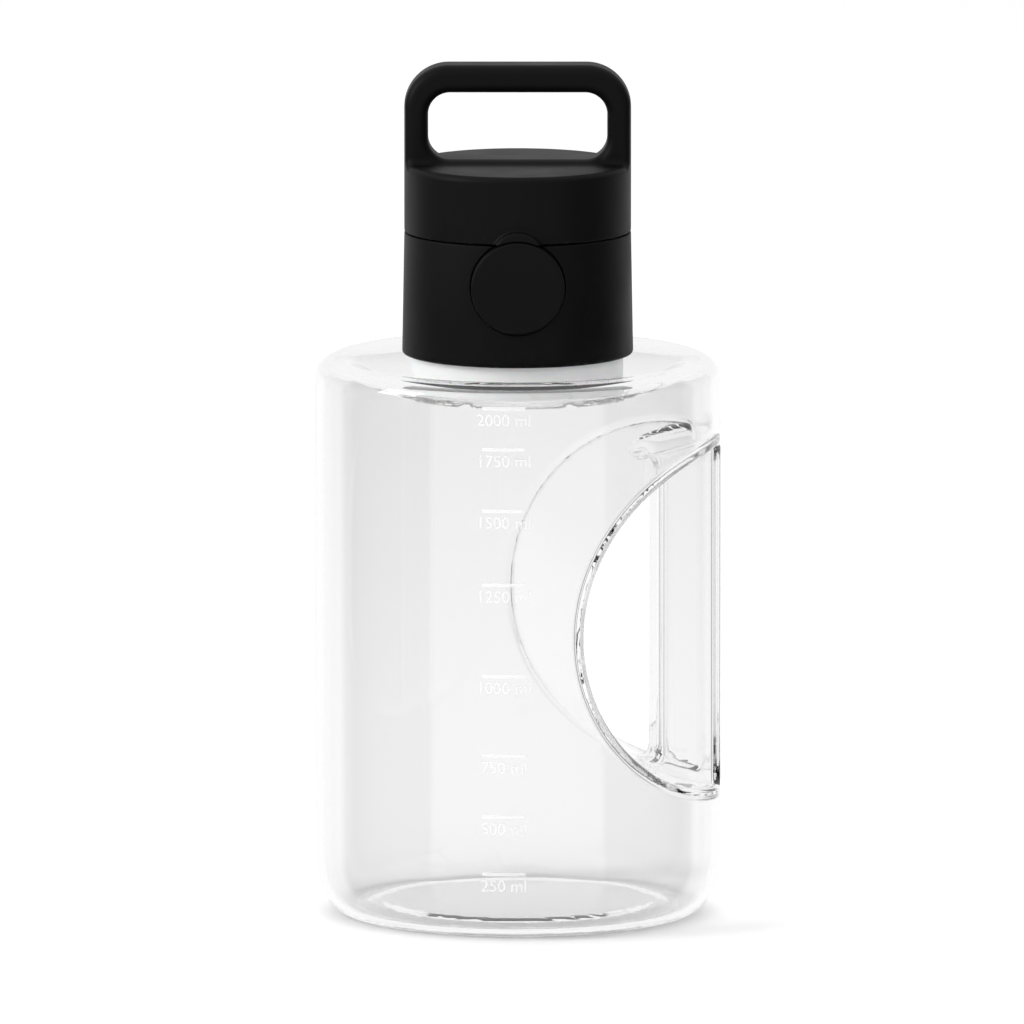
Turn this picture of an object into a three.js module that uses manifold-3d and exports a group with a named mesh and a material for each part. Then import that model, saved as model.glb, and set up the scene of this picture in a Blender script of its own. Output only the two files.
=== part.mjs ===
// A two-litre clear water jug with a recessed side grip, and a screw-on cap with a carry loop:
// a round push button at the front lets the lid swing back on a hinge at the rear.
// Millimetres, +Z up. The origin is the centre of the jug's base, the button faces -Y, and the
// grip is near +X, GRIP_ANGLE round from it.
import * as THREE from "three";
import { mergeVertices } from "three/addons/utils/BufferGeometryUtils.js";
import Module from "manifold-3d";

const wasm = await Module();
wasm.setup();

// ---------------------------------------------------------------- driving dimensions
const SEGMENTS = 48; // facets round every turned piece
const GAP = 0.3; // between pieces that touch on the real jug
const SLIP = 0.5; // between pieces that slide or turn past each other

// Jug
const BODY_RADIUS = 68;
const BODY_HEIGHT = 187.6; // to the crest of the shoulder
const WALL = 2.6;
const SHOULDER_ROUND = 6.9;
const BASE_ROUND = 12; // how far the base corner comes in
const BASE_RISE = 19.6; // how far up the base corner starts
const BASE_DOME = 1.6; // the base is hollowed so that it stands on a ring
const DISH_DEPTH = 9.6; // the shoulder falls from its crest to the neck
const NECK_RADIUS = 31.8;
const NECK_HEIGHT = 17.5; // from the dish to the rim
const NECK_FILLET = 1.6;

// Side grip: a half round scoop right through the jug, bridged by a hollow bar
const GRIP_ANGLE = 9.85; // degrees round from +X towards +Y
const SCOOP_RADIUS = 57.5;
const SCOOP_CENTRE_OUT = 0.5; // the scoop's centre is this far outside the jug's wall
const SCOOP_HEIGHT = 101.3;
const BAR_THICKNESS = 22; // measured in from the jug's wall
const BAR_WIDTH = 28;
const BAR_ROUND = 7;
const BAR_FILLET = 6;

// Volume marks, one every 250 ml from the bottom up
const MARK_HEIGHTS = [22.8, 42.1, 62.7, 89.5, 120.3, 145.2, 165.9, 179.7];
const MARK_ANGLE = -3.9; // degrees round from the -Y side
const MARK_WIDTH = 14.4;
const MARK_THICK = 1.9;
const MARK_PROUD = 0.35;

// Thread between jug and cap
const PITCH = 6;
const THREAD_TURNS = 1.25;
const THREAD_DEPTH = 1.4;
const THREAD_WIDTH = 2.4;
const THREAD_START = 7; // up from the dish

// Cap
const CAP_LIFT = 1.4; // the collar's lower edge above the shoulder's crest
const CAP_ROOM = 0.85; // between the inner cap and the collar
const CAP_FLARE = 0.7; // the collar is this much wider at its foot
const CAP_WALL = 1.8;
const COLLAR_HEIGHT = 41.2;
const PARTING = 0.5; // the line between collar and lid
const LID_HEIGHT = 22.9;
const LID_TOP_WALL = 2.5;
const LID_ROUND = 1.6;
const LINER_WALL = 1.6;
const GASKET_THICK = 1.8;
const LATCH_ROOM = 12.15; // from the collar's bore in to the wet chamber under the spout
const SEAL_LIP = 3; // the liner's lip that the deck's seal sits on
const SEAL_HEIGHT = 1.8;
const DECK_WALL = 2;
const DECK_DROP = 1.8; // the deck is this far below the parting line
const SPOUT_RADIUS = 12;
const SPOUT_WALL = 2;
const SPOUT_HEIGHT = 9.6; // above the deck
const VENT_RADIUS = 1.9;
const VENT_OUT = 17.6;

// Carry loop
const LOOP_HEIGHT = 33.6; // above the lid
const LOOP_DEPTH = 15;
const LOOP_LEG = 8;
const LOOP_BAR = 9.3;
const LOOP_ROUND = 15;
const LOOP_HOLE_ROUND = 7.4;
const LOOP_SILL = 1.6;
const LOOP_EDGE = 3;

// Button and latch
const BUTTON_RADIUS = 15.55;
const BUTTON_RISE = 1.4; // its top above the line between collar and lid
const BUTTON_PROUD = 3.2;
const BUTTON_FACE = 2.2;
const BUTTON_SKIRT = 2;
const BUTTON_TRAVEL = 2;
const HOOD_HALF_WIDTH = 8; // the lid's small hood over the button
const HOOD_RISE = 4.6;
const LATCH_THICK = 2.4;
const LATCH_HALF_WIDTH = 11.5;
const HOOK_HALF_WIDTH = 4.5;
const HOOK_THICK = 1.8;
const HOOK_NOSE = 1.3;
const SPRING_WIRE = 0.5;
const SPRING_RADIUS = 2.2;
const SPRING_OUT = 7.5;

// Hinge
const HINGE_OUT = 1.1; // the pin is this far outside the cap's wall
const PIN_RADIUS = 1.5;
const PIN_LENGTH = 30;
const KNUCKLE_RADIUS = 3.8;
const LID_KNUCKLE_OUTER = 8;
const LID_KNUCKLE_INNER = 4.6;

// ---------------------------------------------------------------- derived places
const crestRadius = BODY_RADIUS - SHOULDER_ROUND;
const dishZ = BODY_HEIGHT - DISH_DEPTH;
const rimZ = dishZ + NECK_HEIGHT;
const scoopCentre = BODY_RADIUS + SCOOP_CENTRE_OUT;
const barInner = BODY_RADIUS - BAR_THICKNESS;

const threadCrest = NECK_RADIUS + THREAD_DEPTH;
const linerBore = threadCrest + SLIP;
const linerRadius = linerBore + LINER_WALL;
const linerThreadCrest = NECK_RADIUS + SLIP;
const neckBore = NECK_RADIUS - WALL;

const collarFoot = BODY_HEIGHT + CAP_LIFT;
const collarTop = collarFoot + COLLAR_HEIGHT - PARTING / 2;
const partingZ = collarFoot + COLLAR_HEIGHT;
const lidFoot = partingZ + PARTING / 2;
const lidTop = partingZ + LID_HEIGHT;
const collarBore = linerRadius + CAP_ROOM;
const capRadius = collarBore + CAP_WALL;
const chamberRadius = collarBore - LATCH_ROOM;

const gasketZ = rimZ + GAP;
const linerCeiling = gasketZ + GASKET_THICK + GAP;
const linerTop = linerCeiling + DECK_WALL;
const deckFoot = linerTop + GAP;
const deckTop = collarTop - DECK_DROP;
const spoutTop = deckTop + SPOUT_HEIGHT;
const lidLinerZ = lidFoot + 1.9;
const lidLinerTop = lidLinerZ + DECK_WALL + 0.2;
const sealRadius = SPOUT_RADIUS + SLIP + 2.4;
const sealTop = spoutTop + SLIP + 4.2;

const buttonZ = partingZ + BUTTON_RISE - BUTTON_RADIUS;
const buttonHole = BUTTON_RADIUS + GAP;
const buttonFront = -(capRadius + BUTTON_PROUD);
const chamberOuter = chamberRadius + DECK_WALL;
const hookBack = -(chamberOuter + BUTTON_TRAVEL + SLIP + 0.3);
const hookFront = hookBack - HOOK_THICK;
const latchBack = hookBack - 1.2;
const latchFront = latchBack - LATCH_THICK;
const buttonBack = latchFront - GAP - 1.4;
const catchEdge = hookFront - GAP;
const hookSlotBack = hookBack + BUTTON_TRAVEL + GAP;

const hingeY = capRadius + HINGE_OUT;
const knuckleSwing = KNUCKLE_RADIUS + 0.4;
const knuckleRoom = LID_KNUCKLE_OUTER + GAP;
const webBack = hingeY + KNUCKLE_RADIUS * 0.7;

// ---------------------------------------------------------------- shape helpers
const point = (x, y) => new THREE.Vector2(x, y);

// A closed geometry as a manifold-3d solid, without the triangles that shrink to nothing on an axis.
function solid(geometry) {
  const bare = new THREE.BufferGeometry().setAttribute("position", geometry.getAttribute("position"));
  if (geometry.index) bare.setIndex(geometry.index);
  const merged = mergeVertices(bare, 1e-4);
  const corners = merged.index.array;
  const kept = [];
  for (let i = 0; i < corners.length; i += 3) {
    const [a, b, c] = [corners[i], corners[i + 1], corners[i + 2]];
    if (a !== b && b !== c && c !== a) kept.push(a, b, c);
  }
  return new wasm.Manifold(
    new wasm.Mesh({
      numProp: 3,
      vertProperties: merged.attributes.position.array,
      triVerts: new Uint32Array(kept),
    }),
  );
}

// A solid turned round Z from an outline of [radius, height] points, closed on itself.
function turned(outline, segments = SEGMENTS) {
  const loop = outline.map(([r, z]) => point(r, z));
  const shape = THREE.ShapeUtils.isClockWise(loop) ? loop.reverse() : loop;
  const geometry = new THREE.LatheGeometry([...shape, shape[0]], segments);
  return solid(geometry.rotateX(Math.PI / 2));
}

const tube = (inner, outer, low, high) =>
  turned([[inner, low], [outer, low], [outer, high], [inner, high]]);

const drum = (radius, low, high) => turned([[0, low], [radius, low], [radius, high], [0, high]]);

const block = (x0, x1, y0, y1, z0, z1) =>
  solid(
    new THREE.BoxGeometry(x1 - x0, y1 - y0, z1 - z0).translate((x0 + x1) / 2, (y0 + y1) / 2, (z0 + z1) / 2),
  );

// A round rod along X or Y. For X, (u, v) is its (y, z); for Y, its (x, z).
function rod(axis, radius, from, to, u, v, segments = 32) {
  const geometry = new THREE.CylinderGeometry(radius, radius, to - from, segments);
  if (axis === "x") geometry.rotateZ(-Math.PI / 2).translate((from + to) / 2, u, v);
  else geometry.translate(u, (from + to) / 2, v);
  return solid(geometry);
}

// An outline drawn in X and Z, given a thickness along Y and, if wanted, rounded edges.
function slab(shape, from, to, edge = 0, curveSegments = 12) {
  const options = {
    depth: to - from - 2 * edge,
    bevelEnabled: edge > 0,
    bevelSize: edge,
    bevelThickness: edge,
    bevelOffset: -edge,
    bevelSegments: 3,
    curveSegments,
  };
  const geometry = new THREE.ExtrudeGeometry(shape, options);
  return solid(geometry.rotateX(Math.PI / 2).translate(0, to - edge, 0));
}

// A bar of constant section wound round Z: section points are [radius, height].
function wound(section, turns, pitch, stepsPerTurn = 32) {
  const shape = new THREE.Shape(section.map(([r, z]) => point(r, z)));
  const steps = Math.round(turns * stepsPerTurn);
  const geometry = new THREE.ExtrudeGeometry(shape, { depth: turns, steps, bevelEnabled: false });
  const place = geometry.getAttribute("position");
  for (let i = 0; i < place.count; i += 1) {
    const angle = -place.getZ(i) * 2 * Math.PI;
    const radius = place.getX(i);
    const height = place.getY(i) + pitch * (turns - place.getZ(i));
    place.setXYZ(i, radius * Math.cos(angle), radius * Math.sin(angle), height);
  }
  return solid(geometry);
}

// Points along a round corner from one angle to another, in degrees.
function corner(centreR, centreZ, radiusR, radiusZ, from, to, steps) {
  return Array.from({ length: steps + 1 }, (_, i) => {
    const angle = THREE.MathUtils.degToRad(from + ((to - from) * i) / steps);
    return [centreR + radiusR * Math.cos(angle), centreZ + radiusZ * Math.sin(angle)];
  });
}

function materialOf(color, roughness, metalness = 0, opacity = 1) {
  return new THREE.MeshStandardMaterial({ color, roughness, metalness, opacity, transparent: opacity < 1 });
}

const clear = materialOf(0xf2f5f5, 0.05, 0, 0.3);
const black = materialOf(0x151515, 0.5);
const white = materialOf(0xe4e4e2, 0.55);
const silicone = materialOf(0xd9d9d6, 0.6);
const steel = materialOf(0xa8aaac, 0.3, 1);

const jug = new THREE.Group();

function add(name, made, material) {
  const out = made.getMesh();
  const geometry = new THREE.BufferGeometry();
  geometry.setAttribute("position", new THREE.BufferAttribute(new Float32Array(out.vertProperties), 3));
  geometry.setIndex(new THREE.BufferAttribute(new Uint32Array(out.triVerts), 1));
  geometry.computeVertexNormals();
  const mesh = new THREE.Mesh(geometry, material);
  mesh.name = name;
  jug.add(mesh);
}

// ---------------------------------------------------------------- jug body
// The turned skin of the jug, set in by t from the outside, with its neck carried up to topZ.
function turnedSkin(t, topZ) {
  const wallRadius = BODY_RADIUS - t;
  const standRadius = BODY_RADIUS - BASE_ROUND;
  const neck = NECK_RADIUS - t;
  const dishRadius = NECK_RADIUS + LINER_WALL + THREAD_DEPTH + SLIP + NECK_FILLET + 1.2;
  const slopeSteps = 3;
  const slope = Array.from({ length: slopeSteps }, (_, i) => {
    const share = (i + 1) / (slopeSteps + 1);
    const fall = (1 - Math.cos(Math.PI * share)) / 2;
    return [crestRadius + (dishRadius - crestRadius) * share, BODY_HEIGHT - t - DISH_DEPTH * fall];
  });
  return turned([
    [0, BASE_DOME + t],
    [standRadius - 10, BASE_DOME + t],
    [standRadius - 4, t],
    ...corner(standRadius, BASE_RISE, BASE_ROUND - t, BASE_RISE - t, -90, 0, 6),
    ...corner(crestRadius, BODY_HEIGHT - SHOULDER_ROUND, SHOULDER_ROUND - t, SHOULDER_ROUND - t, 0, 90, 4),
    ...slope,
    [dishRadius, dishZ - t],
    [neck + NECK_FILLET, dishZ - t],
    [neck, dishZ - t + NECK_FILLET],
    [neck, topZ],
    [0, topZ],
  ]);
}

// The half round scoop, and the bar that bridges it, both set back by t.
function scoop(t) {
  const radius = SCOOP_RADIUS + t;
  const round = new THREE.Shape().absarc(scoopCentre, SCOOP_HEIGHT, radius, 0, 2 * Math.PI, false);
  const cut = slab(round, -BODY_RADIUS * 1.2, BODY_RADIUS * 1.2, 0, 44);
  const side = barInner + t;
  const reach = radius + 1; // the window's round side stays outside the scoop
  const fillet = BAR_FILLET + t;
  const centreX = side - fillet;
  const across = scoopCentre - centreX;
  const along = Math.sqrt((reach - fillet) ** 2 - across ** 2);
  const turn = Math.atan2(along, -across);
  const window = new THREE.Path();
  window.absarc(centreX, SCOOP_HEIGHT + along, fillet, 0, turn, false);
  window.absarc(scoopCentre, SCOOP_HEIGHT, reach, turn, 2 * Math.PI - turn, false);
  window.absarc(centreX, SCOOP_HEIGHT - along, fillet, 2 * Math.PI - turn, 2 * Math.PI, false);
  const frame = new THREE.Shape();
  const half = reach + 3 * BAR_ROUND;
  frame.moveTo(scoopCentre - half, SCOOP_HEIGHT - half);
  frame.lineTo(scoopCentre + half, SCOOP_HEIGHT - half);
  frame.lineTo(scoopCentre + half, SCOOP_HEIGHT + half);
  frame.lineTo(scoopCentre - half, SCOOP_HEIGHT + half);
  frame.holes.push(window);
  const bar = slab(frame, -BAR_WIDTH / 2 + t, BAR_WIDTH / 2 - t, BAR_ROUND - t, 9);
  return cut.subtract(bar).rotate([0, 0, GRIP_ANGLE]);
}

function mark(height) {
  const bar = block(
    -MARK_WIDTH / 2,
    MARK_WIDTH / 2,
    -BODY_RADIUS - MARK_PROUD,
    -BODY_RADIUS + WALL / 2,
    height - MARK_THICK / 2,
    height + MARK_THICK / 2,
  );
  const crest = BODY_RADIUS + MARK_PROUD;
  const shell = tube(BODY_RADIUS - WALL / 2, crest, height - MARK_THICK, height + MARK_THICK);
  return bar.intersect(shell).rotate([0, 0, MARK_ANGLE]);
}

function threadSection(root, crest, z) {
  const inset = THREAD_WIDTH / 4;
  return [
    [root, z - THREAD_WIDTH / 2],
    [crest, z - THREAD_WIDTH / 2 + inset],
    [crest, z + THREAD_WIDTH / 2 - inset],
    [root, z + THREAD_WIDTH / 2],
  ];
}

function jugBody() {
  const outer = turnedSkin(0, rimZ).subtract(scoop(0));
  const hollow = turnedSkin(WALL, rimZ + WALL).subtract(scoop(WALL));
  const threadZ = dishZ + THREAD_START;
  const thread = wound(threadSection(NECK_RADIUS - 0.6, threadCrest, threadZ), THREAD_TURNS, PITCH);
  let body = outer.add(thread).subtract(hollow);
  MARK_HEIGHTS.forEach((height) => {
    body = body.add(mark(height));
  });
  return body;
}

add("jug_body", jugBody(), clear);

// ---------------------------------------------------------------- cap: liner, gasket, collar, deck
function threadedLiner() {
  const foot = dishZ + SLIP + 0.4;
  const skirt = turned([
    [linerBore, foot],
    [linerRadius, foot],
    [linerRadius, linerTop],
    [chamberRadius - SEAL_LIP, linerTop],
    [chamberRadius - SEAL_LIP, linerCeiling],
    [linerBore, linerCeiling],
  ]);
  const threadZ = dishZ + THREAD_START - PITCH / 2;
  const thread = wound(threadSection(linerBore + 0.6, linerThreadCrest, threadZ), THREAD_TURNS, PITCH);
  return skirt.add(thread);
}

function collar() {
  const foot = capRadius + CAP_FLARE;
  const shell = turned([
    [collarBore, collarFoot],
    [foot - 0.8, collarFoot],
    [foot, collarFoot + 0.8],
    [capRadius, collarTop],
    [collarBore, collarTop],
  ]);
  const buttonCut = rod("y", buttonHole, -2 * capRadius, -capRadius / 2, 0, buttonZ);
  const inside = drum(collarBore, collarFoot, collarTop);
  const knuckles = [-1, 1].map((side) => {
    const [x0, x1] = [LID_KNUCKLE_OUTER + GAP, PIN_LENGTH / 2].map((x) => side * x).sort((a, b) => a - b);
    const barrel = rod("x", KNUCKLE_RADIUS, x0, x1, hingeY, partingZ, 24);
    const web = block(x0, x1, collarBore, webBack, partingZ - 9, partingZ - 1);
    const ramp = rod("x", 9, x0 - 1, x1 + 1, hingeY + 7.4, partingZ - 9.6, 32);
    return barrel.add(web.subtract(ramp));
  });
  const lidSwing = rod("x", knuckleSwing, -knuckleRoom, knuckleRoom, hingeY, partingZ, 24);
  const bore = rod("x", PIN_RADIUS + GAP / 2, -PIN_LENGTH, PIN_LENGTH, hingeY, partingZ, 24);
  return shell
    .subtract(buttonCut)
    .add(knuckles[0].subtract(inside))
    .add(knuckles[1].subtract(inside))
    .subtract(lidSwing)
    .subtract(bore);
}

function spoutDeck() {
  const outer = collarBore - GAP;
  const ceiling = deckTop - DECK_WALL - 0.4;
  const bore = SPOUT_RADIUS - SPOUT_WALL;
  const shell = turned([
    [chamberRadius, deckFoot],
    [chamberOuter, deckFoot],
    [chamberOuter, deckTop - DECK_WALL],
    [outer - DECK_WALL, deckTop - DECK_WALL],
    [outer - DECK_WALL, deckFoot],
    [outer, deckFoot],
    [outer, deckTop],
    [SPOUT_RADIUS, deckTop],
    [SPOUT_RADIUS, spoutTop - 0.7],
    [SPOUT_RADIUS - 0.6, spoutTop],
    [bore + 0.6, spoutTop],
    [bore, spoutTop - 0.7],
    [bore, ceiling],
    [chamberRadius, ceiling - 1.4],
  ]);
  const sideRoom = buttonHole + GAP;
  const latchRoom = block(-sideRoom, sideRoom, -capRadius, -chamberOuter, deckFoot - 1, deckTop - DECK_WALL)
    .subtract(drum(chamberOuter, deckFoot - 2, deckTop));
  const buttonRoom = rod("y", buttonHole, -2 * capRadius, buttonBack + BUTTON_TRAVEL + GAP, 0, buttonZ);
  const slotHalf = HOOK_HALF_WIDTH + SLIP;
  const slotFoot = deckTop - DECK_WALL - 0.2;
  const hookSlot = block(-slotHalf, slotHalf, hookFront - SLIP, hookSlotBack, slotFoot, deckTop + 1);
  const ventHole = drum(VENT_RADIUS, ceiling - 4, deckTop + 1).translate([0, VENT_OUT, 0]);
  const hingeRoom = rod("x", knuckleSwing, -PIN_LENGTH, PIN_LENGTH, hingeY, partingZ, 24);
  return shell
    .subtract(latchRoom)
    .subtract(buttonRoom)
    .subtract(hookSlot)
    .subtract(ventHole)
    .subtract(hingeRoom);
}

function ventValve() {
  const stem = VENT_RADIUS - GAP;
  return turned(
    [
      [0, deckTop - 7.5],
      [0.9, deckTop - 7.5],
      [VENT_RADIUS + 0.7, deckTop - 5.2],
      [stem, deckTop - 4.6],
      [stem, deckTop + GAP],
      [VENT_RADIUS + 1.5, deckTop + GAP],
      [VENT_RADIUS + 1.5, deckTop + 0.7],
      [0, deckTop + 1.3],
    ],
    24,
  ).translate([0, VENT_OUT, 0]);
}

add("threaded_liner", threadedLiner(), white);
add("neck_gasket", tube(neckBore - 0.6, linerBore - GAP, gasketZ, gasketZ + GASKET_THICK), silicone);
add("collar", collar(), black);
add("spout_deck", spoutDeck(), black);
const sealInner = chamberRadius - SEAL_LIP + SLIP;
add("deck_seal", tube(sealInner, chamberRadius - GAP, deckFoot, deckFoot + SEAL_HEIGHT), silicone);
add("vent_valve", ventValve(), silicone);

// ---------------------------------------------------------------- button and latch
function buttonCap() {
  const face = rod("y", BUTTON_RADIUS, buttonFront, buttonFront + BUTTON_FACE, 0, buttonZ);
  const skirt = rod("y", BUTTON_RADIUS, buttonFront + 0.5, buttonBack, 0, buttonZ).subtract(
    rod("y", BUTTON_RADIUS - BUTTON_SKIRT, buttonFront + 0.4, buttonBack + 1, 0, buttonZ),
  );
  const stem = rod("y", 4, buttonFront + 1, latchFront - GAP, 0, buttonZ, 24);
  return face.add(skirt).add(stem);
}

function latchSlide() {
  const foot = deckFoot + SLIP;
  const top = deckTop - DECK_WALL - SLIP;
  const hookTop = lidLinerTop + 2.9;
  const plate = block(-LATCH_HALF_WIDTH, LATCH_HALF_WIDTH, latchFront, latchBack, foot, top);
  const arm = block(-HOOK_HALF_WIDTH, HOOK_HALF_WIDTH, hookFront, hookBack, top - 6, hookTop);
  const joinArm = block(-HOOK_HALF_WIDTH, HOOK_HALF_WIDTH, latchFront, hookBack, top - 6, top);
  const nose = new THREE.Shape([
    point(hookFront + 0.2, lidLinerTop + SLIP),
    point(hookFront - HOOK_NOSE, lidLinerTop + SLIP),
    point(hookFront - HOOK_NOSE, lidLinerTop + SLIP + 0.7),
    point(hookFront + 0.2, hookTop),
  ]);
  const wedge = slab(nose, -HOOK_HALF_WIDTH, HOOK_HALF_WIDTH).rotate([0, 0, 90]);
  return plate.add(arm).add(joinArm).add(wedge);
}

function latchSpring(side) {
  const seat = -Math.sqrt(chamberOuter ** 2 - (SPRING_OUT - SPRING_RADIUS) ** 2) - SPRING_WIRE / 2 - 0.4;
  const start = latchBack + GAP + SPRING_WIRE / 2;
  const turns = 2;
  const sides = 6;
  const ring = Array.from({ length: sides }, (_, i) => {
    const angle = (2 * Math.PI * i) / sides;
    return [SPRING_RADIUS + (SPRING_WIRE / 2) * Math.cos(angle), (SPRING_WIRE / 2) * Math.sin(angle)];
  });
  return wound(ring, turns, (seat - start) / turns, 12)
    .rotate([-90, 0, 0])
    .translate([side * SPRING_OUT, start, buttonZ]);
}

add("button_cap", buttonCap(), black);
add("latch_slide", latchSlide(), white);
add("latch_spring_left", latchSpring(-1), steel);
add("latch_spring_right", latchSpring(1), steel);

// ---------------------------------------------------------------- lid: shell with loop, liner, seal
// The carry loop, cut to the lid's own roundness so that its sides carry on up from the lid.
function carryLoop() {
  const side = capRadius;
  const top = lidTop + LOOP_HEIGHT;
  const foot = lidTop - 3 * LOOP_EDGE;
  const root = lidTop - LID_TOP_WALL / 2;
  const outline = new THREE.Shape();
  outline.moveTo(-side, foot);
  outline.lineTo(side, foot);
  outline.absarc(side - LOOP_ROUND, top - LOOP_ROUND, LOOP_ROUND, 0, Math.PI / 2, false);
  outline.absarc(LOOP_ROUND - side, top - LOOP_ROUND, LOOP_ROUND, Math.PI / 2, Math.PI, false);
  const hole = new THREE.Path();
  const holeX = side - LOOP_LEG - LOOP_HOLE_ROUND;
  const holeLow = lidTop + LOOP_SILL + LOOP_HOLE_ROUND;
  const holeHigh = top - LOOP_BAR - LOOP_HOLE_ROUND;
  hole.absarc(holeX, holeHigh, LOOP_HOLE_ROUND, 0, Math.PI / 2, false);
  hole.absarc(-holeX, holeHigh, LOOP_HOLE_ROUND, Math.PI / 2, Math.PI, false);
  hole.absarc(-holeX, holeLow, LOOP_HOLE_ROUND, Math.PI, 1.5 * Math.PI, false);
  hole.absarc(holeX, holeLow, LOOP_HOLE_ROUND, 1.5 * Math.PI, 2 * Math.PI, false);
  outline.holes.push(hole);
  const loop = slab(outline, -LOOP_DEPTH / 2, LOOP_DEPTH / 2, LOOP_EDGE, 6);
  return loop.intersect(drum(side, root, top + 1));
}

function lidShell() {
  const bore = capRadius - CAP_WALL;
  const shell = turned([
    [bore, lidFoot],
    [capRadius, lidFoot],
    ...corner(capRadius - LID_ROUND, lidTop - LID_ROUND, LID_ROUND, LID_ROUND, 0, 90, 3),
    [0, lidTop],
    [0, lidTop - LID_TOP_WALL],
    [bore, lidTop - LID_TOP_WALL],
  ]);
  const inside = drum(bore, lidFoot - 1, lidTop - LID_TOP_WALL);
  const hood = new THREE.Shape();
  hood.absellipse(0, partingZ + 0.2, HOOD_HALF_WIDTH, HOOD_RISE, 0, 2 * Math.PI, false);
  const hoodBlock = slab(hood, buttonFront + 0.4, -bore, 1.2, 8).subtract(inside);
  const buttonCut = rod("y", buttonHole, -2 * capRadius, -capRadius / 2, 0, buttonZ);
  const below = block(-9, 9, -2 * capRadius, -capRadius / 2, lidFoot - 6, lidFoot);
  const knuckles = [-1, 1].map((side) => {
    const [x0, x1] = [LID_KNUCKLE_INNER, LID_KNUCKLE_OUTER].map((x) => side * x).sort((a, b) => a - b);
    const barrel = rod("x", KNUCKLE_RADIUS, x0, x1, hingeY, partingZ, 24);
    const web = block(x0, x1, collarBore, webBack, partingZ + 1, partingZ + 9);
    const ramp = rod("x", 9, x0 - 1, x1 + 1, hingeY + 7.4, partingZ + 9.6, 32);
    return barrel.add(web.subtract(ramp)).subtract(inside);
  });
  const collarSwings = [-1, 1].map((side) => {
    const [x0, x1] = [LID_KNUCKLE_OUTER, PIN_LENGTH / 2 + GAP].map((x) => side * x).sort((a, b) => a - b);
    return rod("x", knuckleSwing, x0, x1, hingeY, partingZ, 24);
  });
  const springRoom = rod("x", knuckleSwing, -LID_KNUCKLE_INNER, LID_KNUCKLE_INNER, hingeY, partingZ, 24);
  const bore2 = rod("x", PIN_RADIUS + GAP / 2, -PIN_LENGTH, PIN_LENGTH, hingeY, partingZ, 24);
  return shell
    .add(hoodBlock)
    .subtract(buttonCut)
    .subtract(below)
    .add(carryLoop())
    .subtract(springRoom)
    .add(knuckles[0])
    .add(knuckles[1])
    .subtract(collarSwings[0])
    .subtract(collarSwings[1])
    .subtract(bore2);
}

function lidLiner() {
  const outer = capRadius - CAP_WALL - GAP;
  const cup = sealRadius + GAP;
  const shell = turned([
    [cup, lidLinerZ],
    [outer, lidLinerZ],
    [outer, lidLinerTop],
    [cup + DECK_WALL, lidLinerTop],
    [cup + DECK_WALL, sealTop + GAP + DECK_WALL],
    [0, sealTop + GAP + DECK_WALL],
    [0, sealTop + GAP],
    [cup, sealTop + GAP],
  ]);
  const slotHalf = HOOK_HALF_WIDTH + 1;
  const hookSlot = block(-slotHalf, slotHalf, catchEdge, hookSlotBack + SLIP, lidLinerZ - 1, lidLinerTop + 1);
  const hingeRoom = rod("x", knuckleSwing, -PIN_LENGTH, PIN_LENGTH, hingeY, partingZ, 24);
  return shell.subtract(hookSlot).subtract(hingeRoom);
}

function spoutSeal() {
  const lip = SPOUT_RADIUS + SLIP;
  const plug = SPOUT_RADIUS - SPOUT_WALL - SLIP;
  return turned([
    [lip, lidLinerZ + GAP],
    [sealRadius, lidLinerZ + GAP],
    [sealRadius, sealTop],
    [0, sealTop],
    [0, spoutTop - 2.4],
    [plug - 0.6, spoutTop - 2.4],
    [plug, spoutTop - 1.6],
    [plug, spoutTop + SLIP],
    [lip, spoutTop + SLIP],
  ]);
}

add("lid_shell", lidShell(), black);
add("lid_liner", lidLiner(), black);
add("spout_seal", spoutSeal(), silicone);

// ---------------------------------------------------------------- hinge
function torsionSpring() {
  const wire = 0.45;
  const coilRadius = PIN_RADIUS + GAP + wire + 0.2;
  const turns = 4;
  const reach = LID_KNUCKLE_INNER - 0.6;
  const sides = 6;
  const ring = Array.from({ length: sides }, (_, i) => {
    const angle = (2 * Math.PI * i) / sides;
    return [coilRadius + wire * Math.cos(angle), wire * Math.sin(angle)];
  });
  return wound(ring, turns, (2 * reach - 2 * wire) / turns, 14)
    .rotate([0, 90, 0])
    .translate([wire - reach, hingeY, partingZ]);
}

add("hinge_pin", rod("x", PIN_RADIUS, -PIN_LENGTH / 2, PIN_LENGTH / 2, hingeY, partingZ, 24), steel);
add("torsion_spring", torsionSpring(), steel);

export default jug;
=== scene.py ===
"""A clear water jug with a side grip, and its black screw cap with a push button and a carry loop.

Every size is in metres. The jug stands on its base at the origin, the button faces -Y and the
hinge +Y. Smooth shapes start as rough solids, which are meshed evenly and then drawn onto an
exact skin: a field that gives each point's distance from the skin and the way out of it.
"""

import math

import bmesh
import bpy
import numpy as np
from bpy.props import FloatProperty, FloatVectorProperty, IntProperty, PointerProperty
from mathutils import Matrix, Vector


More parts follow.
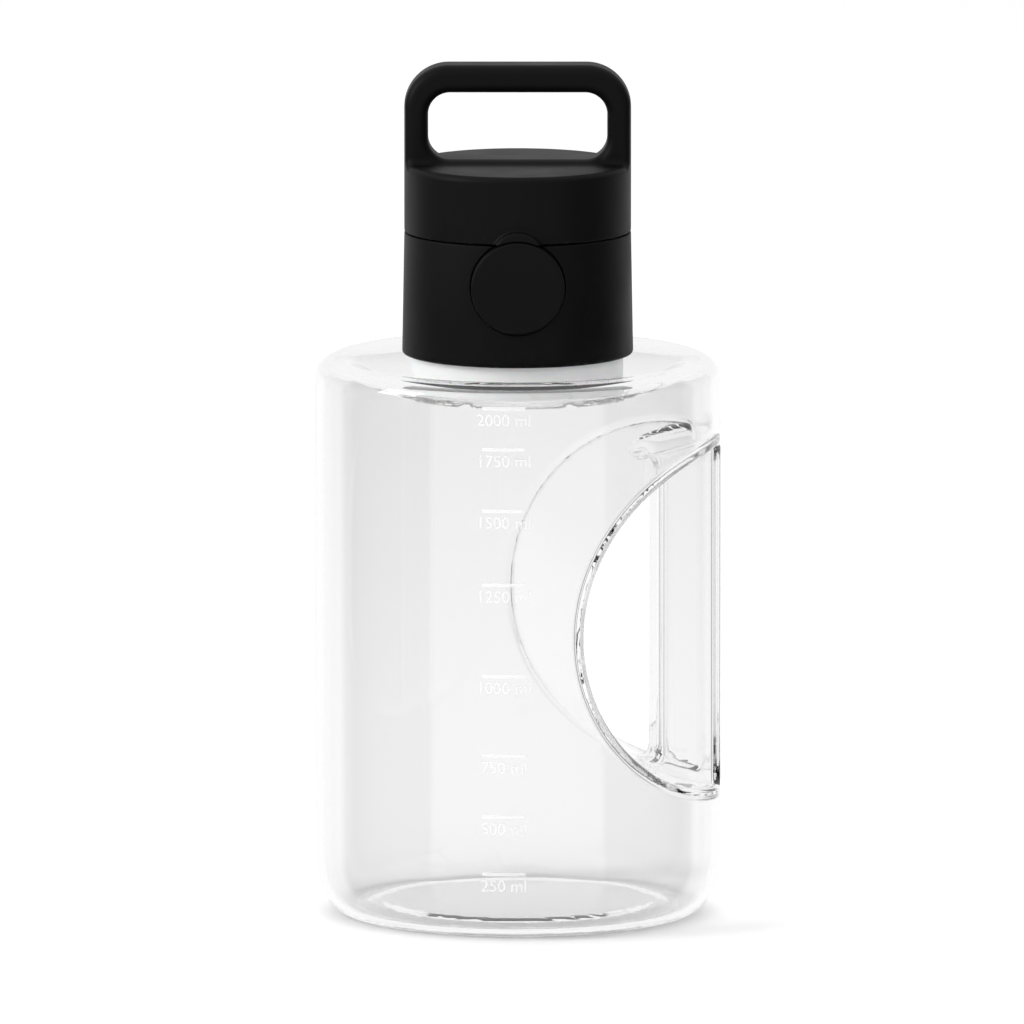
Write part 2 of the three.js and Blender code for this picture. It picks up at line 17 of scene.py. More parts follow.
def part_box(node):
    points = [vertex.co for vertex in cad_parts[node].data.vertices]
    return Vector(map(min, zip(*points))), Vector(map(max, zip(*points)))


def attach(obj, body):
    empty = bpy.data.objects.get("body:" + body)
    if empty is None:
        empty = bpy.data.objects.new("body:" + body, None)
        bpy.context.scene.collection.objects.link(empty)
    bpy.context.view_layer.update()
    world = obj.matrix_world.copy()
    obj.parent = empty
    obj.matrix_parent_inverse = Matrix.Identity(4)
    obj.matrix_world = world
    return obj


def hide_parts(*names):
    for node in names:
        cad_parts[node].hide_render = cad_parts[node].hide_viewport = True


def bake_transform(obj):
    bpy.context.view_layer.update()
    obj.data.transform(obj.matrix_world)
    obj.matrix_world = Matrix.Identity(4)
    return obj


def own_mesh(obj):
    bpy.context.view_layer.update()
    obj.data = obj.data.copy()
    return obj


bl_info = {
    "name": "Clear Water Jug",
    "version": (1, 0, 0),
    "blender": (4, 5, 0),
    "location": "3D View > Sidebar > Jug",
    "description": "Builds a clear water jug with a side grip and a push-button screw cap",
    "category": "Object",
}

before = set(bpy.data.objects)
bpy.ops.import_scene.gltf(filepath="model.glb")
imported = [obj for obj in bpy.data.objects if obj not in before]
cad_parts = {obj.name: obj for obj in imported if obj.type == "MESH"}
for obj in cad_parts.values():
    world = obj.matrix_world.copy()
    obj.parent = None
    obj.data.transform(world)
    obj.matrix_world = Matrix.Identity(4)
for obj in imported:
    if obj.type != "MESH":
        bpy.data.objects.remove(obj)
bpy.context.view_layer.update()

JUG_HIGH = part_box("jug_body")[1]
LINER_LOW, LINER_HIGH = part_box("threaded_liner")
COLLAR_LOW, COLLAR_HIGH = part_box("collar")
LID_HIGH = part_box("lid_shell")[1]
BUTTON_LOW, BUTTON_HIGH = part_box("button_cap")
PIN_LOW, PIN_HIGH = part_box("hinge_pin")
TWIST_LOW, TWIST_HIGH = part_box("torsion_spring")
HINGE = (PIN_LOW + PIN_HIGH) / 2
BUTTON_HEIGHT = (BUTTON_LOW.z + BUTTON_HIGH.z) / 2
BUTTON_RADIUS = (BUTTON_HIGH.x - BUTTON_LOW.x) / 2

AXIS_Y = Vector((0, 1, 0))
AXIS_Z = Vector((0, 0, 1))
MM = 0.001


# ---------------------------------------------------------------- sizes and colours


def length(name, description, default):
    return FloatProperty(
        name=name, description=description, default=default, unit="LENGTH", precision=5
    )


def colour(name, description, default):
    return FloatVectorProperty(
        name=name, description=description, default=default, subtype="COLOR", min=0.0, max=1.0
    )


class JugSizes(bpy.types.PropertyGroup):
    """Sizes of the clear jug"""

    radius: length("Radius", "Outside radius of the jug", JUG_HIGH.x)
    crest: length("Crest", "Height of the shoulder's crest", 0.1876)
    wall: length("Wall", "Thickness of the clear wall", 0.0026)
    shoulder_round: length("Shoulder round", "Rounding from wall to shoulder", 0.0069)
    base_round: length("Base round", "How far the base corner comes in", 0.012)
    base_rise: length("Base rise", "How far up the base corner starts", 0.0196)
    base_dome: length("Base dome", "How far the base is hollowed", 0.0016)
    dish_depth: length("Dish depth", "Fall from the shoulder's crest to the neck", 0.0096)
    dish_radius: length("Dish radius", "Where the dish turns flat", 0.0381)
    neck_radius: length("Neck radius", "Outside radius of the neck", 0.0318)
    neck_fillet: length("Neck fillet", "Rounding at the root of the neck", 0.0016)
    scoop_radius: length("Scoop radius", "Radius of the half round grip opening", 0.0575)
    scoop_outset: length("Scoop outset", "How far the scoop's centre is outside the wall", 0.0005)
    scoop_height: length("Scoop height", "Height of the scoop's centre", 0.1013)
    bar_thickness: length("Bar thickness", "Grip bar, measured in from the wall", 0.022)
    bar_width: length("Bar width", "Grip bar, measured round the jug", 0.028)
    bar_round: length("Bar round", "Rounding of the grip bar's corners", 0.007)
    bar_fillet: length("Bar fillet", "Rounding where the bar meets the scoop", 0.006)
    edge_round: length("Edge round", "Rounding of the scoop's edges", 0.0019)
    thread_pitch: length("Thread pitch", "Rise of the neck's thread in one turn", 0.006)
    thread_start: length("Thread start", "Height of the thread above the dish", 0.007)
    thread_depth: length("Thread depth", "How far the thread stands out", 0.0014)
    mark_width: length("Mark width", "Width of a volume mark", 0.0144)
    mark_thick: length("Mark thickness", "Height of a volume mark's bar", 0.0012)
    mark_proud: length("Mark relief", "How far the marks stand out", 0.0003)
    figure_height: length("Figure height", "Size of the volume figures", 0.0056)
    grip_angle: FloatProperty(
        name="Grip angle",
        description="Where the grip is, round from +X",
        default=math.radians(9.85),
        subtype="ANGLE",
    )
    mark_angle: FloatProperty(
        name="Mark angle",
        description="Where the volume marks are, round from -Y",
        default=math.radians(-3.9),
        subtype="ANGLE",
    )


class CapSizes(bpy.types.PropertyGroup):
    """Sizes of the black cap"""

    radius: length("Radius", "Outside radius of the lid", 0.03795)
    wall: length("Wall", "Thickness of the lid and collar walls", 0.0018)
    foot_round: length("Foot round", "Rounding of the collar's foot", 0.0011)
    rim_round: length("Rim round", "Rounding at the line between collar and lid", 0.00035)
    lid_top: length("Lid top", "Height of the lid's flat top", 0.2531)
    lid_ceiling: length("Lid ceiling", "Thickness of the lid's top", 0.0025)
    lid_round: length("Lid round", "Rounding round the lid's top", 0.0022)
    loop_depth: length("Loop depth", "Carry loop, front to back", 0.015)
    loop_leg: length("Loop leg", "Width of the loop's legs", 0.008)
    loop_bar: length("Loop bar", "Height of the loop's top bar", 0.0093)
    loop_sill: length("Loop sill", "Height of the loop's hole above the lid", 0.0017)
    loop_round: length("Loop round", "Outer corner of the loop", 0.015)
    hole_round: length("Hole round", "Corner of the loop's hole", 0.0074)
    loop_edge: length("Loop edge", "Rounding of the loop's edges", 0.0036)
    loop_fillet: length("Loop fillet", "Rounding where the loop meets the lid", 0.0026)
    hood_radius: length("Hood radius", "Curve of the small hood over the button", 0.009)
    hood_rise: length("Hood rise", "Top of the hood above the button's edge", 0.0034)
    button_gap: length("Button gap", "Clearance round the button", 0.0003)
    button_edge: length("Button edge", "Rounding of the button's edge", 0.0008)
    button_dish: length("Button dish", "How far the button's face is dished", 0.00025)
    knuckle_radius: length("Knuckle radius", "Outside radius of the hinge's knuckles", 0.0038)
    pin_gap: length("Pin gap", "Clearance round the hinge pin", 0.00015)


class MeshSizes(bpy.types.PropertyGroup):
    """How finely the smooth shapes are meshed"""

    jug_voxel: length("Jug mesh", "Size of the clear skin's faces", 0.003)
    cap_voxel: length("Cap mesh", "Size of the lid's and collar's faces", 0.0008)
    turned_steps: IntProperty(
        name="Turned steps", description="Faces round a turned piece", default=160
    )


class Finishes(bpy.types.PropertyGroup):
    """Colours of the jug's materials"""

    clear: colour("Clear", "Tint of the clear plastic", (0.99, 0.99, 0.99))
    black: colour("Black", "Satin black plastic", (0.0024, 0.0024, 0.0025))
    white: colour("White", "White inner cap", (0.93, 0.93, 0.925))
    silicone: colour("Silicone", "Pale seals", (0.62, 0.62, 0.6))
    steel: colour("Steel", "Springs and hinge pin", (0.62, 0.63, 0.64))
    marks: colour("Marks", "Frosted volume marks", (0.9, 0.9, 0.9))
    floor: colour("Floor", "Pale studio floor", (0.86, 0.86, 0.86))


# ---------------------------------------------------------------- fields
# A field is an exact skin to draw a mesh onto: (distance, direction) for an array of points,
# where distance is below zero inside.


def round_max(a, b, radius):
    """What is inside both fields, with the edge between them rounded."""
    (da, na), (db, nb) = a, b
    ua = np.maximum(da + radius, 0.0)
    ub = np.maximum(db + radius, 0.0)
    reach = np.hypot(ua, ub)
    distance = np.minimum(-radius, np.maximum(da, db)) + reach
    mixed = (ua[:, None] * na + ub[:, None] * nb) / np.maximum(reach, 1e-12)[:, None]
    nearer = np.where((da > db)[:, None], na, nb)
    both = ((ua > 0) & (ub > 0))[:, None]
    return distance, np.where(both, mixed, nearer)


def outside_of(a):
    return -a[0], -a[1]


def round_min(a, b, radius):
    """What is inside either field, with a fillet of that radius between them."""
    return outside_of(round_max(outside_of(a), outside_of(b), radius))


def plane_field(points, place, way):
    """Inside is behind a plane that faces way."""
    way = np.array(way, float)
    return (points - np.array(place, float)) @ way, np.broadcast_to(way, points.shape)


def round_bar_field(points, centre, radius, across):
    """A round bar without ends. across names its two cross axes: (0, 2) is a bar along Y."""
    offset = np.zeros_like(points)
    for axis, middle in zip(across, centre):
        offset[:, axis] = points[:, axis] - middle
    reach = np.linalg.norm(offset, axis=1)
    return reach - radius, offset / np.maximum(reach, 1e-9)[:, None]


def round_box_field(points, low, high, radius, across):
    """A bar of round-cornered box section without ends, from low to high on its two cross axes."""
    offset = np.zeros_like(points)
    sides = np.zeros((len(points), 2))
    for i, axis in enumerate(across):
        middle, half = (low[i] + high[i]) / 2, (high[i] - low[i]) / 2
        away = points[:, axis] - middle
        sides[:, i] = np.abs(away) - (half - radius)
        offset[:, axis] = np.sign(away)
    beyond = np.maximum(sides, 0.0)
    reach = np.hypot(beyond[:, 0], beyond[:, 1])
    distance = reach + np.minimum(sides.max(axis=1), 0.0) - radius
    direction = np.zeros_like(points)
    corner = reach > 1e-9
    first = sides[:, 0] > sides[:, 1]
    for i, axis in enumerate(across):
        flat = np.where(first == (i == 0), 1.0, 0.0)
        share = np.where(corner, beyond[:, i] / np.maximum(reach, 1e-9), flat)
        direction[:, axis] = share * offset[:, axis]
    return distance, direction


LOT = 6000  # points worked on at a time, to save memory


def turned_field(points, outline):
    """A solid turned round Z from an outline of (radius, height), with the solid on its left."""
    outline = np.array(outline)
    start, along = outline[:-1], np.diff(outline, axis=0)
    size = np.maximum((along**2).sum(axis=1), 1e-18)
    facing = np.stack([along[:, 1], -along[:, 0]], axis=1) / np.sqrt(size)[:, None]
    closed = np.allclose(outline[0], outline[-1])
    before = np.vstack([facing[-1:] if closed else facing[:1], facing])
    after = np.vstack([facing, facing[:1] if closed else facing[-1:]])
    corner = before + after
    corner /= np.maximum(np.linalg.norm(corner, axis=1), 1e-9)[:, None]

    out = np.hypot(points[:, 0], points[:, 1])
    flat = np.stack([out, points[:, 2]], axis=1)
    distance = np.empty(len(points))
    direction = np.empty_like(points)
    for lot in np.array_split(np.arange(len(points)), max(1, len(points) // LOT)):
        place = flat[lot][:, None, :]
        share = np.clip(((place - start) * along).sum(axis=2) / size, 0.0, 1.0)
        gap = place - (start + share[:, :, None] * along)
        far = (gap**2).sum(axis=2)
        nearest = far.argmin(axis=1)
        row = np.arange(len(lot))
        t = share[row, nearest][:, None]
        way = corner[nearest] * (1 - t) + corner[nearest + 1] * t
        way /= np.maximum(np.linalg.norm(way, axis=1), 1e-9)[:, None]
        side = np.sign((gap[row, nearest] * way).sum(axis=1))
        distance[lot] = np.where(side == 0, 1.0, side) * np.sqrt(far[row, nearest])
        radial = points[lot][:, :2] / np.maximum(out[lot], 1e-9)[:, None]
        direction[lot] = np.column_stack([radial * way[:, :1], way[:, 1]])
    return distance, direction


def spun(points, angle):
    """Points turned round Z."""
    c, s = math.cos(angle), math.sin(angle)
    return points @ np.array([[c, s, 0], [-s, c, 0], [0, 0, 1]])


# ---------------------------------------------------------------- outlines


def arc(centre, radii, start, end, steps):
    """Points of (radius, height) along an elliptic arc, its angles in degrees."""
    return [
        (centre[0] + radii[0] * math.cos(a), centre[1] + radii[1] * math.sin(a))
        for a in np.radians(np.linspace(start, end, steps + 1))
    ]


# How far in from the base's corner its standing ring ends, and its hollow is at full height.
BASE_RING, BASE_HOLLOW = 4 * MM, 12 * MM


def jug_outline(s, inset, top):
    """The jug's skin without its grip, set in by inset, with the neck carried up to top."""
    stand = s.radius - s.base_round
    ring, hollow = stand - BASE_RING, stand - BASE_HOLLOW
    crest_radius = s.radius - s.shoulder_round
    dish = s.crest - s.dish_depth - inset
    neck = s.neck_radius - inset
    base = [
        (hollow + (ring - hollow) * k, s.base_dome * (1 + math.cos(math.pi * k)) / 2 + inset)
        for k in np.linspace(0, 1, 9)
    ]
    slope = [
        (
            crest_radius + (s.dish_radius - crest_radius) * k,
            s.crest - inset - s.dish_depth * (1 - math.cos(math.pi * k)) / 2,
        )
        for k in np.linspace(0, 1, 25)[1:]
    ]
    corner = (s.base_round - inset, s.base_rise - inset)
    shoulder, fillet = s.shoulder_round - inset, s.neck_fillet
    return [
        (0.0, s.base_dome + inset),
        *base,
        *arc((stand, s.base_rise), corner, -90, 0, 30),
        *arc((crest_radius, s.crest - s.shoulder_round), (shoulder, shoulder), 0, 90, 20),
        *slope,
        *arc((neck + fillet, dish + fillet), (fillet, fillet), 270, 180, 8),
        (neck, top),
        (0.0, top),
    ]


def lid_outline(c):
    """The lid's wall and ceiling, without its loop."""
    bore, foot, ceiling = c.radius - c.wall, LID_FOOT, c.lid_top - c.lid_ceiling
    r, rim = c.lid_round, c.rim_round
    return [
        (0.0, ceiling),
        *arc((bore - r, ceiling - r), (r, r), 90, 0, 8),
        *arc((bore + rim, foot + rim), (rim, rim), 180, 270, 4),
        *arc((c.radius - rim, foot + rim), (rim, rim), 270, 360, 4),
        *arc((c.radius - r, c.lid_top - r), (r, r), 0, 90, 12),
        (0.0, c.lid_top),
    ]


def collar_outline(c):
    """The collar's wall, which flares towards its foot."""
    bore, foot, top = c.radius - c.wall, COLLAR_LOW.z, COLLAR_TOP
    r, rim = c.foot_round, c.rim_round
    flare = COLLAR_HIGH.x
    outline = [
        *arc((bore + rim, foot + rim), (rim, rim), 180, 270, 4),
        *arc((flare - r, foot + r), (r, r), 270, 360, 8),
        *arc((c.radius - rim, top - rim), (rim, rim), 0, 90, 4),
        *arc((bore + rim, top - rim), (rim, rim), 90, 180, 4),
    ]
    return [*outline, outline[0]]


PARTING = HINGE.z
LID_FOOT = PARTING + 0.25 * MM
COLLAR_TOP = PARTING - 0.25 * MM


# ---------------------------------------------------------------- mesh helpers


def mesh_piece(name, bm):
    """A finished bmesh as a piece at the origin."""
    mesh = bpy.data.meshes.new(name)
    bm.to_mesh(mesh)
    bm.free()
    piece = bpy.data.objects.new(name, mesh)
    bpy.context.scene.collection.objects.link(piece)
    return piece


def settle(piece):
    """Gives a piece what its modifiers make of it as its own mesh."""
    bpy.context.view_layer.update()
    graph = bpy.context.evaluated_depsgraph_get()
    piece_mesh = bpy.data.meshes.new_from_object(piece.evaluated_get(graph))
    piece.modifiers.clear()
    piece.data = piece_mesh


def carve(piece, tool, operation):
    """Joins a solid to a piece, or cuts it away, and drops the tool."""
    step = piece.modifiers.new("carve", "BOOLEAN")
    step.operation = operation
    step.solver = "EXACT"
    step.object = tool
    settle(piece)
    bpy.data.objects.remove(tool)


def turned(name, outline, steps=96):
    """A solid turned round Z from an outline of (radius, height)."""
    bm = bmesh.new()
    verts = [bm.verts.new((r, 0.0, z)) for r, z in outline]
    edges = [bm.edges.new(pair) for pair in zip(verts[:-1], verts[1:])]
    bmesh.ops.spin(
        bm, geom=verts + edges, cent=(0, 0, 0), axis=AXIS_Z, dvec=(0, 0, 0),
        angle=2 * math.pi, steps=steps, use_merge=True,
    )
    bmesh.ops.remove_doubles(bm, verts=bm.verts, dist=1e-7)
    bmesh.ops.recalc_face_normals(bm, faces=bm.faces)
    return mesh_piece(name, bm)


def rod(name, radius, start, end, steps=64):
    """A round rod between two points."""
    start, end = Vector(start), Vector(end)
    bm = bmesh.new()
    turn = AXIS_Z.rotation_difference(end - start).to_matrix().to_4x4()
    bmesh.ops.create_cone(
        bm, cap_ends=True, segments=steps, radius1=radius, radius2=radius,
        depth=(end - start).length, matrix=Matrix.Translation((start + end) / 2) @ turn,
    )
    return mesh_piece(name, bm)


def block(name, low, high, corner=0.0, upright=AXIS_Z):
    """A box between two corners, the edges along upright rounded."""
    low, high = Vector(low), Vector(high)
    bm = bmesh.new()
    bmesh.ops.create_cube(bm, size=1.0)
    bmesh.ops.scale(bm, vec=high - low, verts=bm.verts)
    bmesh.ops.translate(bm, vec=(low + high) / 2, verts=bm.verts)
    if corner:
        along = [
            e for e in bm.edges
            if abs((e.verts[0].co - e.verts[1].co).normalized().dot(upright)) > 0.9
        ]
        bmesh.ops.bevel(
            bm, geom=along, offset=corner, offset_type="OFFSET", segments=8,
            profile=0.5, affect="EDGES", material=-1,
        )
    return mesh_piece(name, bm)


def coil(name, radius, wire, turns, pitch, steps_per_turn=40):
    """A spring wound round Z from z = 0, with closed ends."""
    bm = bmesh.new()
    section = bmesh.ops.create_circle(
        bm, cap_ends=False, segments=12, radius=wire / 2,
        matrix=Matrix.Translation((radius, 0, 0)) @ Matrix.Rotation(math.pi / 2, 4, "X"),
    )["verts"]
    edges = list({e for v in section for e in v.link_edges})
    steps = round(turns * steps_per_turn)
    bmesh.ops.spin(
        bm, geom=section + edges, cent=(0, 0, 0), axis=AXIS_Z,
        dvec=(0, 0, pitch * turns / steps), angle=2 * math.pi * turns, steps=steps,
    )
    ends = [e for e in bm.edges if e.is_boundary]
    bmesh.ops.holes_fill(bm, edges=ends, sides=0)
    bmesh.ops.recalc_face_normals(bm, faces=bm.faces)
    return mesh_piece(name, bm)


def place(piece, matrix):
    """Moves a piece's mesh, and leaves its object at the origin."""
    piece.data.transform(matrix)
    piece.data.update()
    return piece


def coordinates(mesh):
    co = np.empty(len(mesh.vertices) * 3)
    mesh.vertices.foreach_get("co", co)
    return co.reshape(-1, 3)


def set_coordinates(mesh, co):
    mesh.vertices.foreach_set("co", co.ravel())
    mesh.update()


def even_mesh(piece, size):
    """Meshes a rough solid evenly."""
    step = piece.modifiers.new("even", "REMESH")
    step.mode = "VOXEL"
    step.voxel_size = size
    settle(piece)


STRIDE = 1.5 * MM  # the furthest that a point moves in one round
DRAW_ROUNDS, RELAX_ROUNDS = 5, 3


def draw_onto(mesh, field, rounds=DRAW_ROUNDS):
    """Moves each point of a mesh onto the field's skin."""
    co = coordinates(mesh)
    for _ in range(rounds):
        distance, direction = field(co)
        co -= np.clip(distance, -STRIDE, STRIDE)[:, None] * direction
    set_coordinates(mesh, co)


def relax(mesh, rounds):
    """Spreads a mesh's points evenly."""
    bm = bmesh.new()
    bm.from_mesh(mesh)
    for _ in range(rounds):
        bmesh.ops.smooth_vert(
            bm, verts=bm.verts, factor=0.5, use_axis_x=True, use_axis_y=True, use_axis_z=True
        )
    bm.to_mesh(mesh)
    bm.free()


def refine(mesh, field, turn):
    """Splits the edges along which the skin turns by more than an angle."""
    _, direction = field(coordinates(mesh))
    direction /= np.maximum(np.linalg.norm(direction, axis=1), 1e-9)[:, None]
    limit = math.cos(turn)
    bm = bmesh.new()
    bm.from_mesh(mesh)
    pairs = np.array([[v.index for v in e.verts] for e in bm.edges])
    sharp = (direction[pairs[:, 0]] * direction[pairs[:, 1]]).sum(axis=1) < limit
    edges = [e for e, split in zip(bm.edges, sharp) if split]
    bmesh.ops.subdivide_edges(bm, edges=edges, cuts=1, use_grid_fill=True)
    bmesh.ops.triangulate(bm, faces=[f for f in bm.faces if len(f.verts) > 4])
    bm.to_mesh(mesh)
    bm.free()


def fit_skin(piece, field, size, turns=(12, 9, 9, 9)):
    """Turns a rough solid into a smooth mesh that lies on a field's skin."""
    even_mesh(piece, size)
    draw_onto(piece.data, field)
    relax(piece.data, RELAX_ROUNDS)
    draw_onto(piece.data, field)
    for turn in turns:
        refine(piece.data, field, math.radians(turn))
        draw_onto(piece.data, field)


def shade_by(mesh, direction, flat=None):
    """Shades a mesh by the skin's own directions. Where flat says so, faces keep their own."""
    mesh.polygons.foreach_set("use_smooth", [True] * len(mesh.polygons))
    corners = np.empty(len(mesh.loops), np.int32)
    mesh.loops.foreach_get("vertex_index", corners)
    direction = direction / np.maximum(np.linalg.norm(direction, axis=1), 1e-9)[:, None]
    normals = direction[corners]
    if flat is not None:
        counts = np.empty(len(mesh.polygons), np.int32)
        mesh.polygons.foreach_get("loop_total", counts)
        own = np.empty(len(mesh.polygons) * 3)
        mesh.polygons.foreach_get("normal", own)
        own = np.repeat(own.reshape(-1, 3), counts, axis=0)
        keep = np.repeat(flat(mesh), counts)
        normals = np.where(keep[:, None], own, normals)
    mesh.normals_split_custom_set(normals.tolist())


def smooth_shaded(piece, angle=30):
    """Shades a turned or bevelled piece smooth, apart from its sharp edges."""
    piece.data.polygons.foreach_set("use_smooth", [True] * len(piece.data.polygons))
    piece.data.set_sharp_from_angle(angle=math.radians(angle))
    return piece


def finish_piece(piece, body, material, slot, *nodes):
    """Gives a piece its material and, if it has one, its body, and hides the frame's nodes that
    it stands for."""
    piece.data.materials.clear()
    piece.data.materials.append(material)
    if body:
        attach(piece, body)
    if nodes:
        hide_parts(*nodes)
    return piece


# ---------------------------------------------------------------- materials


GRAIN_SCALE, SMUDGE_SCALE, WAVE_SCALE = 2600.0, 45.0, 28.0


def moulded_grain():
    """A node group of what moulded plastic shows: fine grain, faint smudges and slow waves."""
    name = "moulded grain"
    if name in bpy.data.node_groups:
        return bpy.data.node_groups[name]
    group = bpy.data.node_groups.new(name, "ShaderNodeTree")
    scales = {"Grain": GRAIN_SCALE, "Smudge": SMUDGE_SCALE, "Wave": WAVE_SCALE}
    for label, default in scales.items():
        socket = group.interface.new_socket(
            f"{label} Scale", in_out="INPUT", socket_type="NodeSocketFloat"
        )
        socket.default_value = default
    for label in ("Grain", "Smudge", "Wave"):
        group.interface.new_socket(label, in_out="OUTPUT", socket_type="NodeSocketFloat")
    nodes, links = group.nodes, group.links
    inputs, outputs = nodes.new("NodeGroupInput"), nodes.new("NodeGroupOutput")
    where = nodes.new("ShaderNodeTexCoord")
    for label, detail in (("Grain", 2.0), ("Smudge", 4.0), ("Wave", 1.0)):
        noise = nodes.new("ShaderNodeTexNoise")
        noise.inputs["Detail"].default_value = detail
        links.new(where.outputs["Object"], noise.inputs["Vector"])
        links.new(inputs.outputs[f"{label} Scale"], noise.inputs["Scale"])
        links.new(noise.outputs["Fac"], outputs.inputs[label])
    return group


def span(nodes, links, source, low, high, start=0.3, end=0.7):
    """Goes from low to high while the source goes from start to end."""
    node = nodes.new("ShaderNodeMapRange")
    ends = {"From Min": start, "From Max": end, "To Min": low, "To Max": high}
    for name, value in ends.items():
        node.inputs[name].default_value = value
    links.new(source, node.inputs["Value"])
    return node.outputs["Result"]


def new_material(name):
    """A material, with its nodes, its links and its shader."""
    material = bpy.data.materials.new(name)
    material.use_nodes = True
    nodes, links = material.node_tree.nodes, material.node_tree.links
    return material, nodes, links, nodes["Principled BSDF"]


def bumped(nodes, links, shader, height, strength, depth):
    """Lets a shader's normal follow a height."""
    bump = nodes.new("ShaderNodeBump")
    bump.inputs["Strength"].default_value = strength
    bump.inputs["Distance"].default_value = depth
    links.new(height, bump.inputs["Height"])
    links.new(bump.outputs["Normal"], shader.inputs["Normal"])


def vanishing(nodes, links, shader, mask, tint=None):
    """Puts a shader out as the material, and lets light straight through where the mask is 1."""
    through = nodes.new("ShaderNodeBsdfTransparent")
    if tint:
        links.new(tint, through.inputs["Color"])
    mix = nodes.new("ShaderNodeMixShader")
    links.new(mask, mix.inputs["Fac"])
    links.new(shader.outputs["BSDF"], mix.inputs[1])
    links.new(through.outputs["BSDF"], mix.inputs[2])
    links.new(mix.outputs["Shader"], nodes["Material Output"].inputs["Surface"])


def plastic(name, tint, roughness, grain_depth, variation=0.06, grain_scale=GRAIN_SCALE):
    """A moulded plastic or silicone: base colour, roughness and grain vary a little."""
    material, nodes, links, shader = new_material(name)
    grain = nodes.new("ShaderNodeGroup")
    grain.node_tree = moulded_grain()
    grain.inputs["Grain Scale"].default_value = grain_scale
    shade = nodes.new("ShaderNodeMix")
    shade.data_type = "RGBA"
    shade.inputs["A"].default_value = (*[v * (1 - variation) for v in tint], 1)
    shade.inputs["B"].default_value = (*[v * (1 + variation) for v in tint], 1)
    links.new(grain.outputs["Smudge"], shade.inputs["Factor"])
    links.new(shade.outputs["Result"], shader.inputs["Base Color"])
    links.new(
        span(nodes, links, grain.outputs["Smudge"], roughness - 0.04, roughness + 0.04),
        shader.inputs["Roughness"],
    )
    bumped(nodes, links, shader, grain.outputs["Grain"], 0.5, grain_depth)
    return material, shader


def satin_black(finishes):
    material, shader = plastic("satin black plastic", finishes.black, 0.5, 0.03 * MM)
    shader.inputs["Specular IOR Level"].default_value = 0.1
    return material


def white_plastic(finishes):
    material, shader = plastic("white plastic", finishes.white, 0.38, 0.01 * MM, 0.02)
    shader.inputs["Subsurface Weight"].default_value = 0.3
    shader.inputs["Subsurface Scale"].default_value = 2 * MM
    return material


def pale_silicone(finishes):
    material, shader = plastic("pale silicone", finishes.silicone, 0.55, 0.02 * MM, 0.04, 1400.0)
    shader.inputs["Subsurface Weight"].default_value = 0.25
    shader.inputs["Subsurface Scale"].default_value = 0.8 * MM
    return material


def drawn_steel(finishes):
    material, shader = plastic("drawn steel", finishes.steel, 0.3, 0.004 * MM, 0.1, 5200.0)
    shader.inputs["Metallic"].default_value = 1.0
    return material


FACING_SHADE, EDGE_SHADE = 0.96, 0.1  # light let through a clear wall, face on and edge on


def clear_plastic(finishes):
    """Clear, polished plastic with the slow waves of a blown wall. Lamps shine through it."""
    material, nodes, links, shader = new_material("clear plastic")
    shader.inputs["Base Color"].default_value = (*finishes.clear, 1)
    shader.inputs["Transmission Weight"].default_value = 1.0
    shader.inputs["IOR"].default_value = 1.5
    grain = nodes.new("ShaderNodeGroup")
    grain.node_tree = moulded_grain()
    links.new(span(nodes, links, grain.outputs["Smudge"], 0.0, 0.03), shader.inputs["Roughness"])
    bumped(nodes, links, shader, grain.outputs["Wave"], 0.2, 0.06 * MM)
    facing = nodes.new("ShaderNodeLayerWeight").outputs["Facing"]
    shade = two_tones(nodes, links, facing, [FACING_SHADE] * 3, [EDGE_SHADE] * 3)
    shadow = nodes.new("ShaderNodeLightPath").outputs["Is Shadow Ray"]
    vanishing(nodes, links, shader, shadow, shade)
    return material


def frosted_marks(finishes):
    material, shader = plastic("frosted marks", finishes.marks, 0.42, 0.01 * MM, 0.03)
    shader.inputs["Alpha"].default_value = 0.5
    return material


def material_set(context):
    """The materials, made once."""
    finishes = context.scene.jug_finishes
    makers = {
        "clear plastic": clear_plastic,
        "satin black plastic": satin_black,
        "white plastic": white_plastic,
        "pale silicone": pale_silicone,
        "drawn steel": drawn_steel,
        "frosted marks": frosted_marks,
    }
    for name, maker in makers.items():
        if name not in bpy.data.materials:
            maker(finishes)
    return {name: bpy.data.materials[name] for name in makers}


# ---------------------------------------------------------------- the clear jug


def scoop_tool(s, inset):
    """A rough solid of the half round grip opening, less its bar."""
    centre, reach = s.radius + s.scoop_outset, 2 * s.radius
    start, end = (centre, -reach, s.scoop_height), (centre, reach, s.scoop_height)
    tool = rod("scoop", s.scoop_radius + inset, start, end, 96)
    side, half = s.radius - s.bar_thickness + inset, s.bar_width / 2 - inset
    bar = block(
        "bar", (side, -half, 0), (2 * reach, half, 2 * s.scoop_height), s.bar_round - inset
    )
    carve(tool, bar, "DIFFERENCE")
    return place(tool, Matrix.Rotation(s.grip_angle, 4, "Z"))


def jug_field(s, inset, top):
    """The jug's outer skin, or its inner one, set in by the wall."""
    outline = jug_outline(s, inset, top)
    centre = s.radius + s.scoop_outset
    side, half = s.radius - s.bar_thickness + inset, s.bar_width / 2 - inset
    far = 3 * s.radius

    def field(points):
        local = spun(points, -s.grip_angle)
        scoop = round_bar_field(local, (centre, s.scoop_height), s.scoop_radius + inset, (0, 2))
        bar = round_box_field(local, (side, -half), (far, half), s.bar_round - inset, (0, 1))
        opening = round_max(scoop, outside_of(bar), s.bar_fillet + inset)
        skin = turned_field(local, outline)
        distance, direction = round_max(skin, outside_of(opening), s.edge_round)
        return distance, spun(direction, s.grip_angle)

    return field


